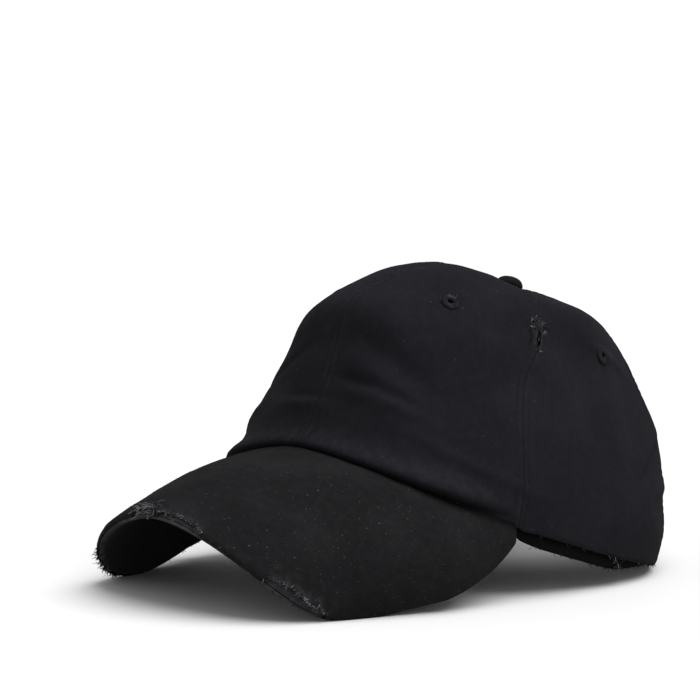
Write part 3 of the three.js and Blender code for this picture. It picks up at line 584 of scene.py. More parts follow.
@dataclass
class ThreadWork:
    """Stitches and loose threads of one finish, drawn as tapered strands and then made a mesh."""

    name: str
    radius: float
    strands: list[tuple[list[Vector], list[float]]] = field(default_factory=list)

    def strand(self, points: Sequence[Vector], taper: Sequence[float]) -> None:
        """Adds a strand through points in metres, with a share of the radius at each."""
        self.strands.append((list(points), list(taper)))

    def stitch(self, start: Vector, end: Vector, out: Vector, rise: float) -> None:
        """Adds one sewn stitch between two needle holes.

        Args:
            start: First hole, in metres.
            end: Second hole, in metres.
            out: Way out of the cloth.
            rise: How far the middle stands out, in millimetres.
        """
        lifts = ((0.0, -0.6, 0.5), (0.22, 0.7, 1.0), (0.78, 0.7, 1.0), (1.0, -0.6, 0.5))
        points = [start.lerp(end, share) + out * (rise * lift * MM) for share, lift, _ in lifts]
        self.strand(points, [size for _, _, size in lifts])

    def loose(self, root: Vector, way: Vector, length: float, curl: float,
              rng: random.Random) -> None:
        """Adds one loose thread that wanders as it leaves the cloth.

        Args:
            root: Where it leaves the cloth, in metres.
            way: The way that it sets off.
            length: Its length in millimetres.
            curl: How far it wanders, as a share of its length.
            rng: Seeded source of chance.
        """
        points, here, ahead = [root], root.copy(), way.normalized()
        steps = 6
        for _ in range(steps):
            ahead = (ahead + curl * Vector([rng.uniform(-1, 1) for _ in range(3)])).normalized()
            here = here + ahead * (length * MM / steps)
            here.z = max(here.z, self.radius * MM)
            points.append(here.copy())
        self.strand(points, [lerp(1.0, 0.35, i / steps) for i in range(steps + 1)])

    def mesh(self) -> Mesh:
        """Returns all strands as one mesh."""
        curve = bpy.data.curves.new(self.name, "CURVE")
        curve.dimensions = "3D"
        curve.bevel_depth = self.radius * MM
        curve.bevel_resolution = 0
        curve.use_fill_caps = True
        for points, taper in self.strands:
            spline = curve.splines.new("POLY")
            spline.points.add(len(points) - 1)
            for knot, point, size in zip(spline.points, points, taper):
                knot.co = (*point, 1.0)
                knot.radius = size
        drawn = new_object(self.name, curve)
        solved = drawn.evaluated_get(bpy.context.evaluated_depsgraph_get())
        mesh = bpy.data.meshes.new_from_object(solved)
        bpy.data.objects.remove(drawn)
        bpy.data.curves.remove(curve)
        mesh.name = self.name
        return mesh


class Sheet:
    """A node tree that is being wired, for a material or a group."""

    def __init__(self, tree: NodeTree) -> None:
        """Takes the tree and empties it."""
        self.tree = tree
        tree.nodes.clear()

    def node(self, kind: str, **settings: object) -> Node:
        """Adds a node with its settings."""
        made = self.tree.nodes.new(kind)
        for key, value in settings.items():
            setattr(made, key, value)
        return made

    def wire(self, source: object, target: NodeSocket) -> None:
        """Joins a socket, or sets a plain value, on a target socket."""
        if isinstance(source, NodeSocket):
            self.tree.links.new(source, target)
        else:
            target.default_value = source

    def math(self, operation: str, *inputs: object, clamped: bool = False) -> NodeSocket:
        """Returns the result of a Math node."""
        made = self.node("ShaderNodeMath", operation=operation, use_clamp=clamped)
        for source, target in zip(inputs, made.inputs):
            self.wire(source, target)
        return made.outputs[0]

    def times(self, a: object, b: object) -> NodeSocket:
        """Returns the product of two values."""
        return self.math("MULTIPLY", a, b)

    def plus(self, a: object, b: object, clamped: bool = False) -> NodeSocket:
        """Returns the sum of two values."""
        return self.math("ADD", a, b, clamped=clamped)

    def cloud(self, vector: object, scale: object, detail: float = 2.0) -> NodeSocket:
        """Returns smooth noise from 0 to 1."""
        made = self.node("ShaderNodeTexNoise")
        self.wire(vector, made.inputs["Vector"])
        self.wire(scale, made.inputs["Scale"])
        made.inputs["Detail"].default_value = detail
        return made.outputs["Fac"]

    def ramp(self, value: object, low: float, high: float) -> NodeSocket:
        """Returns 0 below low and 1 above high, with a smooth way between them."""
        made = self.node("ShaderNodeMapRange", interpolation_type="SMOOTHSTEP")
        self.wire(value, made.inputs["Value"])
        made.inputs["From Min"].default_value = low
        made.inputs["From Max"].default_value = high
        return made.outputs["Result"]

    def mix(self, share: object, a: object, b: object) -> NodeSocket:
        """Returns a blend of two colours."""
        made = self.node("ShaderNodeMix", data_type="RGBA")
        self.wire(share, made.inputs[0])
        self.wire(a, made.inputs[6])
        self.wire(b, made.inputs[7])
        return made.outputs[2]

    def place_group(self, tree: NodeTree, *values: object) -> Node:
        """Adds a shared group, with a value or a socket for each of its inputs."""
        made = self.node("ShaderNodeGroup", node_tree=tree)
        for source, target in zip(values, made.inputs):
            self.wire(source, target)
        return made

    def dress(self, colour: object, roughness: object, height: object,
              bump: Pair, **settings: object) -> None:
        """Wires the shader and the material's output.

        Args:
            colour: The base colour.
            roughness: The roughness.
            height: Height of the relief.
            bump: The relief's strength, and its depth in millimetres.
            settings: Plain values of the shader's other sockets.
        """
        shader, relief = self.node("ShaderNodeBsdfPrincipled"), self.node("ShaderNodeBump")
        relief.inputs["Strength"].default_value = bump[0]
        relief.inputs["Distance"].default_value = bump[1] * MM
        self.wire(height, relief.inputs["Height"])
        self.wire(relief.outputs[0], shader.inputs["Normal"])
        self.wire(colour, shader.inputs["Base Color"])
        self.wire(roughness, shader.inputs["Roughness"])
        for label, value in settings.items():
            shader.inputs[label.replace("_", " ")].default_value = value
        self.wire(shader.outputs[0], self.node("ShaderNodeOutputMaterial").inputs[0])


def new_material(name: str) -> tuple[Material, Sheet]:
    """Returns an empty material and the sheet to wire it on."""
    material = bpy.data.materials.new(name)
    material.use_nodes = True
    return material, Sheet(material.node_tree)


@dataclass(frozen=True)
class ClothEffects:
    """Shader groups that every cloth of the cap shares."""

    twill: NodeTree
    lint: NodeTree
    washed: NodeTree

    @staticmethod
    def group(name: str, ins: dict[str, float | None],
              outs: Sequence[str]) -> tuple[Sheet, Node, Node]:
        """Starts a group.

        Args:
            name: The group's name.
            ins: Inputs, each with its value, or None for a vector.
            outs: Outputs, all plain values.

        Returns:
            The sheet to wire, the group's input node and its output node.
        """
        tree = bpy.data.node_groups.new(name, "ShaderNodeTree")
        for label, value in ins.items():
            kind = "NodeSocketVector" if value is None else "NodeSocketFloat"
            socket = tree.interface.new_socket(name=label, in_out="INPUT", socket_type=kind)
            if value is not None:
                socket.default_value = value
        for label in outs:
            tree.interface.new_socket(name=label, in_out="OUTPUT", socket_type="NodeSocketFloat")
        sheet = Sheet(tree)
        return sheet, sheet.node("NodeGroupInput"), sheet.node("NodeGroupOutput")

    @classmethod
    def build(cls) -> "ClothEffects":
        """Builds the three groups."""
        return cls(cls.build_twill(), cls.build_lint(), cls.build_washed())

    @classmethod
    def build_twill(cls) -> NodeTree:
        """Diagonal twill ribs, crossed by weft threads, uneven as spun cotton is."""
        inputs = {"Cloth": None, "Pitch": 0.7, "Unevenness": 0.5}
        s, i, o = cls.group("twill_weave", inputs, ["Height"])
        parts = s.node("ShaderNodeSeparateXYZ")
        wobble = s.cloud(i.outputs["Cloth"], 260.0, 1.0)
        s.wire(i.outputs["Cloth"], parts.inputs[0])
        u, v = parts.outputs[0], parts.outputs[1]
        turns = s.math("DIVIDE", 2 * pi / MM, i.outputs["Pitch"])
        lean = s.plus(u, s.times(v, 0.8))
        uneven = s.times(s.times(wobble, i.outputs["Unevenness"]), 9.0)
        rib = s.math("SINE", s.plus(s.times(lean, turns), uneven))
        weft = s.math("SINE", s.times(s.times(v, 1.6), turns))
        yarn = s.cloud(i.outputs["Cloth"], 1500.0, 1.0)
        high = s.plus(s.times(rib, 0.26), s.times(weft, 0.1))
        s.wire(s.plus(s.plus(high, 0.25), s.times(yarn, 0.5)), o.inputs["Height"])
        return s.tree

    @classmethod
    def build_lint(cls) -> NodeTree:
        """Pale specks and short fibres, scattered one to a cell where chance allows."""
        inputs = {"Place": None, "Cells": 200.0, "Share": 0.2, "Size": 0.1}
        s, i, o = cls.group("lint", inputs, ["Mask"])
        bent = s.node("ShaderNodeTexNoise")
        s.wire(i.outputs["Place"], bent.inputs["Vector"])
        bent.inputs["Scale"].default_value = 420.0
        shift = s.node("ShaderNodeVectorMath", operation="MULTIPLY_ADD")
        s.wire(bent.outputs["Color"], shift.inputs[0])
        shift.inputs[1].default_value = (0.0016, 0.0016, 0.0016)
        s.wire(i.outputs["Place"], shift.inputs[2])
        cells = s.node("ShaderNodeTexVoronoi", feature="F1")
        s.wire(shift.outputs[0], cells.inputs["Vector"])
        s.wire(i.outputs["Cells"], cells.inputs["Scale"])
        chance = s.node("ShaderNodeSeparateColor")
        s.wire(cells.outputs["Color"], chance.inputs[0])
        size = s.times(i.outputs["Size"], s.plus(chance.outputs[1], 0.4))
        far = s.math("DIVIDE", cells.outputs["Distance"], size)
        near = s.math("SUBTRACT", 1.0, far, clamped=True)
        there = s.math("LESS_THAN", chance.outputs[0], i.outputs["Share"])
        strong = s.plus(s.times(chance.outputs[2], 0.8), 0.2)
        s.wire(s.times(s.times(near, there), strong), o.inputs["Mask"])
        return s.tree

    @classmethod
    def build_washed(cls) -> NodeTree:
        """Uneven fading of washed cloth, stronger where it is worn, and Dark: the attribute's
        values below 0, which paint shade in creases at the brim's root and along the narrow tear,
        and darken the seam tapes a little.
        """
        inputs = {"Place": None, "Wear_and_shade": 0.0, "Fade": 0.3}
        s, i, o = cls.group("washed", inputs, ["Fade", "Dark"])
        broad = s.ramp(s.cloud(i.outputs["Place"], 34.0, 3.0), 0.35, 0.75)
        fine = s.ramp(s.cloud(i.outputs["Place"], 310.0, 3.0), 0.38, 0.72)
        mottle = s.plus(s.times(broad, 0.5), s.times(fine, 0.25))
        worn = s.times(s.math("MAXIMUM", i.outputs["Wear_and_shade"], 0.0), s.plus(fine, 0.35))
        fade = s.plus(s.times(mottle, i.outputs["Fade"]), worn, clamped=True)
        s.wire(fade, o.inputs["Fade"])
        s.wire(s.math("MAXIMUM", s.times(i.outputs["Wear_and_shade"], -1.0), 0.0), o.inputs["Dark"])
        return s.tree


@dataclass(frozen=True)
class ClothFinish:
    """A washed cotton cloth, mixed toward its dark tone as painted shade where its attribute falls
    below 0.
    """

    name: str
    base: Tone
    faded: Tone
    lint_tone: Tone = (0.10, 0.10, 0.106)
    # dark: tone of the painted shade in creases and along the narrow tear.
    dark: Tone = (0.002, 0.002, 0.002)
    crest_gain: float = 2.1
    fade: float = 0.35
    pitch: float = 0.72
    unevenness: float = 0.5
    relief: float = 0.16
    roughness: float = 0.92
    sheen: float = 0.003
    specks: float = 0.13
    speck_size: float = 0.06

    def build(self, effects: ClothEffects) -> Material:
        """Builds the material.

        Args:
            effects: The groups that all cloths share.

        Returns:
            The material.
        """
        material, s = new_material(self.name)
        cloth = s.node("ShaderNodeUVMap", uv_map="cloth").outputs[0]
        place = s.node("ShaderNodeTexCoord").outputs["Object"]
        wear_and_shade = s.node("ShaderNodeAttribute", attribute_name="wear_and_shade").outputs["Fac"]
        twill = s.place_group(effects.twill, cloth, self.pitch, self.unevenness)
        washed = s.place_group(effects.washed, place, wear_and_shade, self.fade)
        height, fade = twill.outputs["Height"], washed.outputs["Fade"]
        crest = s.math("MULTIPLY", height, s.plus(fade, 0.3), clamped=True)
        bright = [self.crest_gain * tone for tone in self.faded]
        colour = s.mix(fade, (*self.base, 1), (*self.faded, 1))
        colour = s.mix(s.times(crest, 0.5), colour, (*bright, 1))
        # Painted shade: mixes toward the dark tone where the attribute falls below 0.
        colour = s.mix(washed.outputs["Dark"], colour, (*self.dark, 1))
        for cells, size in ((240.0, self.speck_size), (560.0, self.speck_size * 2)):
            lint = s.place_group(effects.lint, place, cells, self.specks, size)
            colour = s.mix(lint.outputs["Mask"], colour, (*self.lint_tone, 1))
        rough = s.math("SUBTRACT", self.roughness + 0.05, s.times(height, 0.1), clamped=True)
        s.dress(colour, rough, height, (0.8, self.relief), Specular_IOR_Level=0.01,
                Sheen_Weight=self.sheen, Sheen_Roughness=0.55, Sheen_Tint=(0.75, 0.75, 0.8, 1))
        return material


@dataclass(frozen=True)
class ThreadFinish:
    """Spun thread of stitches, eyelets or frayed ends."""

    name: str
    base: Tone
    pale: Tone
    pale_share: Pair = (0.4, 0.7)
    roughness: float = 0.85
    specular: float = 0.03

    def build(self) -> Material:
        """Returns the material, its tone changing from strand to strand by place."""
        material, s = new_material(self.name)
        place = s.node("ShaderNodeTexCoord").outputs["Object"]
        patch = s.ramp(s.cloud(place, 330.0, 1.0), *self.pale_share)
        ply = s.cloud(place, 3800.0, 1.0)
        colour = s.mix(patch, (*self.base, 1), (*self.pale, 1))
        rough = s.plus(self.roughness - 0.05, s.times(ply, 0.15))
        s.dress(colour, rough, ply, (0.6, 0.08), Specular_IOR_Level=self.specular)
        return material


@dataclass(frozen=True)
class Slit:
    """The torn slit on the seam between the front left and side left panels."""

    level: float = 0.63
    length: float = 15.5
    width: float = 2.8
    edge: float = 7.0

    def half_gap(self, up: float) -> float:
        """Returns how far one lip stands off the seam at a way up from the slit's middle."""
        share = up / (self.length / 2)
        if abs(share) >= 1:
            return 0.0
        jag = 0.35 * sin(5.1 * up) + 0.2 * sin(11.3 * up)
        return max(0.0, self.width / 2 * math.sqrt(1 - share * share) + jag * (1 - share * share))


@dataclass(frozen=True)
class SeamWork:
    """Relief of a felled seam, top-stitched on both sides, over the distance from the seam."""

    groove: float = 0.1
    groove_spread: float = 0.45
    ridge: float = 0.13
    ridge_at: float = 2.0
    ridge_spread: float = 1.5
    stitch_at: float = 3.2
    stitch_dip: float = 0.06
    stitch_spread: float = 0.5
    pucker: float = 0.24
    stitch_length: float = 2.9
    stitch_gap: float = 0.7
    seeds: Pair = (3.1, 7.7)

    def seed(self, toward: int) -> float:
        """Returns the seed of the side of a seam that lies toward 1 or -1."""
        return self.seeds[0] if toward > 0 else self.seeds[1]

    def rise(self, off: float, spot: Vector, seed: float) -> float:
        """Returns the relief at a distance from the seam, puckered along it."""
        gathered = self.pucker * ripple(spot, 4.6, seed) * exp(-((off - 2.5) / 3.5) ** 2)
        relief = self.ridge * bell(off, self.ridge_at, self.ridge_spread) + gathered
        relief -= self.stitch_dip * bell(off, self.stitch_at, self.stitch_spread)
        return relief - self.groove * bell(off, 0, self.groove_spread)

    def wear_and_shade(self, off: float, spot: Vector, seed: float) -> float:
        """Returns how worn the crest beside the seam is."""
        return 0.15 * bell(off, 1.4, 1.0) * patchy(spot, 11, seed + 2, 0.35, 0.9)


class Panel(NamedTuple):
    """One crown panel between two seams."""

    name: str
    start: float
    end: float


@dataclass
class Crown:
    """Six twill panels with felled seams, seam tapes inside and top-stitching."""

    shape: CrownShape
    slit: Slit = Slit()
    seam: SeamWork = SeamWork()
    hole_radius: float = 3.3
    eyelet_level: float = 0.652
    front_eyelet: float = radians(34.8)
    side_eyelet: float = radians(92)
    eyelet_cut: float = 2.6
    columns: int = 84
    rows: int = 112
    crowding: float = 0.6
    hem_stitch: float = 1.8
    tape_width: float = 12.0
    tape_rows: int = 70
    rubbed: tuple = ((-31.5, 0.492, 0.03), (97, 0.65, 0.03), (-52, 0.8, 0.05), (-64, 0.74, 0.05))
    ponytail_cut: CutTest = lambda angle, level: False

    def panels(self) -> list[Panel]:
        """Returns the panels, from the front middle round by the wearer's left."""
        front, rear = self.shape.front_seam, self.shape.rear_seam
        names = ("front_left", "side_left", "back_left", "back_right", "side_right", "front_right")
        starts, ends = (0, front, rear, -pi, -rear, -front), (front, rear, pi, -rear, -front, 0)
        return [Panel(f"{name}_panel", *span) for name, *span in zip(names, starts, ends)]

    def eyelet_angle(self, panel: Panel) -> float:
        """Returns the angle of a front or side panel's eyelet."""
        turn = self.front_eyelet if panel.name.startswith("front") else self.side_eyelet
        return turn if panel.start >= 0 else -turn

    def slit_frame(self) -> Frame:
        """Returns how the crown's surface runs at the slit's middle."""
        return self.shape.frame(self.shape.front_seam, self.slit.level)

    def slit_shift(self, angle: float, level: float, off: float) -> float:
        """Returns how far the cloth beside the slit is pushed away from the seam, in mm."""
        if abs(wrap_angle(angle) - self.shape.front_seam) > 0.3 or off > self.slit.edge:
            return 0.0
        up = (level - self.slit.level) * self.slit_frame().up.length
        return self.slit.half_gap(up) * (1 - off / self.slit.edge)

    def torn(self, angle: float, level: float) -> float:
        """Returns the tone of the second, narrow tear beside the slit: below 0 it is painted shade
        along the tear, above 0 pale frayed fibres.
        """
        frame = self.slit_frame()
        beside = (angle - self.shape.front_seam) * frame.along.length
        up = (level - self.slit.level) * frame.up.length
        if abs(beside) > 9 or abs(up) > 12:
            return 0.0
        # line paints shade along the narrow tear, which is not cut into the cloth.
        line = bell(beside + 4.2 + 0.5 * sin(up * 0.9), 0, 0.5) * bell(up, -1.0, 5.5)
        fray = bell(up, 6.6, 2.2) * bell(beside, 0.5, 3.0)
        fray += 0.8 * bell(up, -7.2, 1.0) * bell(beside, 1, 1.2)
        lips = 0.55 * bell(abs(beside), 1.6, 0.9) * bell(up, 0, 6.5)
        return clamp(1.1 * fray + lips - 1.2 * line, -1, 1)

    def crowd(self, u: float) -> float:
        """Returns a share across a panel, drawn toward the seams, where the relief is finest."""
        return u - self.crowding * sin(2 * pi * u) / (2 * pi)

    def spot(self, panel: Panel, u: float, level: float, way: float) -> Spot:
        """Lays one point of a panel.

        Args:
            panel: The panel.
            u: Share across it.
            level: Level of the point.
            way: Way up the cloth, in millimetres.

        Returns:
            The spot.
        """
        shape = self.shape
        middle = (panel.start + panel.end) / 2
        flat = lerp(panel.start, panel.end, self.crowd(u))
        radius = max(shape.frame(flat, level).along.length, 0.5)
        left, right = (flat - panel.start) * radius, (panel.end - flat) * radius
        off = min(left, right)
        toward = 1 if left < right else -1
        shift = self.slit_shift(flat, level, off)
        flat += toward * shift / radius
        angle = flat + shape.bow(flat, level)
        base = shape.base(angle, level)
        seed = self.seam.seed(toward)
        fade = smoothstep(radius, 3, 14)
        rise = self.seam.rise(off, base, seed) * fade
        if shift > 0.2:
            rise += 0.5 * bell(off, 0.6, 1.5) + 0.7 * bell(off, 0, 0.8)
        rise -= 0.2 * bell(way, self.hem_stitch, 0.6) + 0.5 * bell(way, 0, 0.7)
        wear_and_shade = self.seam.wear_and_shade(off, base, seed) * fade
        wear_and_shade += 0.5 * bell(way, 0.6, 0.9) * patchy(base, 7, 4)
        wear_and_shade += self.torn(flat, level) + self.rub(angle, level, base)
        place = shape.point(angle, level, -rise)
        return Spot(place, ((flat - middle) * radius * MM, way * MM), clamp(wear_and_shade, -1, 1))

    def rub(self, angle: float, level: float, base: Vector) -> float:
        """Returns the worn crests of the roll, a few spots that the wearer handles, and painted
        shade in the crease at the brim's root.
        """
        ahead = 1 - smoothstep(abs(angle), 0.8, 1.1)
        band = smoothstep(level, 0.045, 0.065) * (1 - smoothstep(level, 0.10, 0.22))
        # The bell below 0 at level 0.033 is painted shade in the crease under the roll.
        rub = (0.14 * band - 0.9 * bell(level, 0.033, 0.014)) * ahead
        for at, high, size in self.rubbed:
            near = hypot(wrap_angle(angle - radians(at)) * 0.8, level - high)
            rub += 0.75 * bell(near, 0, size) * patchy(base, 2.6, at, 0.3, 1.6)
        return rub

    def cut_away(self, panel: Panel, levels: list[Pair]) -> CutTest:
        """Makes the test of where a panel's cloth is cut away.

        Args:
            panel: The panel.
            levels: Its rows, as levels and ways up the cloth.

        Returns:
            A test of a share across and a share up.
        """
        middle = self.eyelet_angle(panel)
        eyelet = self.shape.frame(middle, self.eyelet_level)

        def gone(u: float, v: float) -> bool:
            """Tells whether the place is inside an eyelet or an opening."""
            level = levels[min(int(v * self.rows + 0.5), self.rows)][0]
            angle = lerp(panel.start, panel.end, self.crowd(u))
            angle += self.shape.bow(angle, level)
            if panel.name.startswith("back"):
                return self.ponytail_cut(angle, level)
            beside = (angle - middle) * eyelet.along.length
            above = (level - self.eyelet_level) * eyelet.up.length
            return hypot(beside, above) < self.eyelet_cut

        return gone

    def build(self, finisher: Finisher) -> None:
        """Builds the panels, their tapes and their stitching."""
        top = self.shape.level_of_radius(self.hole_radius)
        stitches = ThreadWork("seam_stitches", 0.14)
        for panel in self.panels():
            middle = (panel.start + panel.end) / 2
            levels = self.shape.even_levels(middle, 0, top, self.rows)

            def spot_at(u: float, v: float) -> Spot:
                """Lays one point of this panel."""
                level, way = levels[round(v * self.rows)]
                return self.spot(panel, u, level, way)

            sheet = ClothSheet(panel.name + "_cloth", self.columns, self.rows, spot_at)
            cut = self.cut_away(panel, levels)
            finisher.lay(sheet, Slot.CROWN, self.shape.cloth, [panel.name], cut)
            for seam, toward in ((panel.start, 1), (panel.end, -1)):
                self.sew_seam(stitches, finisher.pose, seam, toward, top)
        self.sew_hem(stitches, finisher.pose)
        finisher.sew_on(stitches)
        self.lay_tapes(finisher)

    def sew_seam(self, work: ThreadWork, pose: RestPose, seam: float, toward: int,
                 top: float) -> None:
        """Sews the top-stitching on one side of a seam.

        Args:
            work: The stitches so far.
            pose: How the cap stands.
            seam: The seam's angle.
            toward: Which side of the seam is sewn, 1 or -1.
            top: Level of the crown's top hole.
        """
        shape, seamwork, parts = self.shape, self.seam, 10
        pace = seamwork.stitch_length + seamwork.stitch_gap
        length = shape.even_levels(seam, 0.0, top, 1)[-1][1]
        count = int(length / pace)
        levels = shape.even_levels(seam, 0.02, min(top, 0.965), parts * count)
        sewn = round(parts * seamwork.stitch_length / pace)
        for i in range(count):
            holes = []
            for step in (parts * i, parts * i + sewn):
                level = levels[min(step, parts * count)][0]
                frame = shape.frame(seam, level)
                radius = max(frame.along.length, 4)
                angle = seam + shape.bow(seam, level) + toward * seamwork.stitch_at / radius
                if any(self.ponytail_cut(angle, level + near) for near in (-0.03, 0.03)):
                    holes.clear()
                    break
                angle += toward * self.slit_shift(angle, level, seamwork.stitch_at) / radius
                base = shape.base(angle, level)
                rise = seamwork.rise(seamwork.stitch_at, base, seamwork.seed(toward))
                holes.append(pose.place(shape.point(angle, level, -rise)))
            if len(holes) == 2:
                work.stitch(*holes, pose.turn(frame.out), 0.1)

    def sew_hem(self, work: ThreadWork, pose: RestPose) -> None:
        """Sews the row along the hem, behind the brim's ends."""
        shape = self.shape
        angle, last = shape.brim_end + 0.05, 2 * pi - shape.brim_end - 0.05
        while angle < last:
            radius = shape.frame(angle, 0).along.length
            ends = (angle, angle + self.seam.stitch_length / radius)
            level = shape.level_up(angle, self.hem_stitch)
            if not any(self.ponytail_cut(wrap_angle(end), level) for end in ends):
                ups = [shape.level_up(end, self.hem_stitch) for end in ends]
                holes = [pose.place(shape.point(end, up, 0.05)) for end, up in zip(ends, ups)]
                work.stitch(*holes, pose.turn(shape.frame(angle, level).out), 0.12)
            angle += (self.seam.stitch_length + self.seam.stitch_gap) / radius

    def lay_tapes(self, finisher: Finisher) -> None:
        """Lays the tapes that cover the seams inside."""
        shape = self.shape
        low, high = shape.level_up(0, 30), shape.level_of_radius(9)
        for number, panel in enumerate(self.panels()):
            seam, rows = panel.start, self.tape_rows
            start = shape.level_of_radius(30) if abs(seam) > 3 else low
            levels = shape.even_levels(seam, start, high, rows)

            def spot_at(u: float, v: float) -> Spot:
                """Lays one point of this tape."""
                level, way = levels[round(v * rows)]
                radius = shape.frame(seam, level).along.length
                across = self.tape_width * (u - 0.5)
                belly = 0.5 * (1 - (2 * u - 1) ** 2)
                angle = seam + shape.bow(seam, level) + across / radius
                place = shape.point(angle, level, shape.cloth + 0.95 + belly)
                return Spot(place, (across * MM, way * MM), -0.1)

            sheet = ClothSheet(f"seam_tape_{number + 1}", 12, rows, spot_at)
            finisher.lay(sheet, Slot.BAND, -0.5)


@dataclass
class Eyelets:
    """Four eyelets of thread wound over the edge of a punched hole."""

    crown: Crown
    radius: float = 4.1
    hole: float = 1.25
    thread: float = 0.55
    turns: int = 30
    stations: int = 150

    def build(self, finisher: Finisher) -> None:
        """Builds one ring a panel."""
        for panel in self.crown.panels():
            if panel.name.startswith("back"):
                continue
            name = "eyelet_" + panel.name.replace("_panel", "")
            mesh = self.ring(name + "_thread", self.crown.eyelet_angle(panel), finisher.pose)
            finisher.add(mesh.name, mesh, Slot.THREAD, [name])

    def ring(self, name: str, angle: float, pose: RestPose) -> Mesh:
        """Makes one ring.

        Args:
            name: The mesh's name.
            angle: The eyelet's angle from the front.
            pose: How the cap stands.

        Returns:
            The mesh.
        """
        shape, level = self.crown.shape, self.crown.eyelet_level
        frame = shape.frame(angle, level)
        along = frame.along.normalized()
        up = frame.out.cross(along).normalized()
        seat = shape.point(angle, level, 0)
        half, mid = (self.radius - self.hole) / 2, (self.radius + self.hole) / 2
        bm = bmesh.new()
        loop = bmesh.ops.create_circle(bm, segments=14, radius=1.0)["verts"]
        for vert in loop:
            across, high = vert.co.x, vert.co.y
            deep = self.thread * (1 - 0.45 * across) * max(high, 0) ** 0.7
            low = -(shape.cloth + 0.9) * min(1, max(-high, 0) * 1.6)
            vert.co = Vector((mid + half * across, 0, deep + low))
        bmesh.ops.spin(bm, geom=[*bm.edges, *loop], axis=(0, 0, 1), cent=(0, 0, 0),
                       angle=2 * pi, steps=self.stations, use_merge=True, use_duplicate=False)
        bmesh.ops.remove_doubles(bm, verts=bm.verts, dist=1e-4)
        bmesh.ops.recalc_face_normals(bm, faces=bm.faces)
        cloth = bm.loops.layers.uv.new("cloth")
        for face in bm.faces:
            for corner in face.loops:
                corner[cloth].uv = corner.vert.co.xy * MM
        for vert in bm.verts:
            turn = math.atan2(vert.co.y, vert.co.x)
            ridge = abs(sin(turn * self.turns / 2)) ** 0.7
            spread = hypot(vert.co.x, vert.co.y)
            ragged = 1 + 0.05 * (ridge - 0.6) + 0.035 * sin(7 * turn + angle * 9)
            high = vert.co.z + (0.22 * (ridge - 0.5) if vert.co.z > 0.1 else 0)
            flat = seat + (along * vert.co.x + up * vert.co.y) * (ragged if spread > mid else 1)
            vert.co = pose.place(flat + frame.out * (high + 0.12))
        return finished_mesh(bm, name)


@dataclass
class TopButton:
    """The cloth-covered button on the crown's top, gathered at its rim."""

    shape: CrownShape
    radius: float = 6.5
    hole: float = 3.1
    height: float = 4.6
    gathers: int = 18

    def seat(self) -> float:
        """Returns the height at which the button clears the panels."""
        turns = [i * pi / 12 for i in range(24)]
        levels = [self.shape.level_of_radius(radius) for radius in (self.hole, self.radius)]
        return max(self.shape.ply(turn, level, 0).z for turn in turns for level in levels) + 0.3

    def skirt(self, turn: float) -> float:
        """Returns the height of the crown under the button's rim at a turn round the button."""
        angle = turn + pi / 2
        return self.shape.point(angle, self.shape.level_of_radius(self.radius), 0).z + 0.1

    def build(self, finisher: Finisher) -> None:
        """Builds the dome, with its cover drawn down to the crown."""
        seat = self.seat()
        bm = bmesh.new()
        made = bmesh.ops.create_uvsphere(bm, u_segments=96, v_segments=40, radius=1.0)
        cloth = bm.loops.layers.uv.new("cloth")
        for face in bm.faces:
            for loop in face.loops:
                loop[cloth].uv = loop.vert.co.xy * (self.radius * MM)
        for vert in made["verts"]:
            turn = math.atan2(vert.co.y, vert.co.x)
            x, y, z = vert.co
            out = hypot(x, y)
            rim = smoothstep(out, 0.72, 1.0)
            gather = 0.035 * rim * abs(sin(turn * self.gathers / 2)) ** 0.6
            dimple = 0.10 * bell(out, 0, 0.3) if z > 0 else 0
            wide = (1 - gather) * (1 + 0.02 * ripple(vert.co, 0.5, 2))
            level = 0.1 + 0.9 * max(z, 0) - dimple * 0.4 + 0.015 * ripple(vert.co, 0.3, 5)
            high = lerp(seat + self.height * level, self.skirt(turn), smoothstep(-z, 0, 0.45))
            x, y = x * wide * self.radius, y * wide * self.radius + self.shape.top_set_back
            vert.co = finisher.pose.place(Vector((x, y, high)))
        bmesh.ops.recalc_face_normals(bm, faces=bm.faces)
        mesh = finished_mesh(bm, "top_button_cover")
        finisher.add(mesh.name, mesh, Slot.CROWN, ["top_button"])


class Bite(NamedTuple):
    """A place where the cover's edge is worn away."""

    middle: float
    half: float
    depth: float


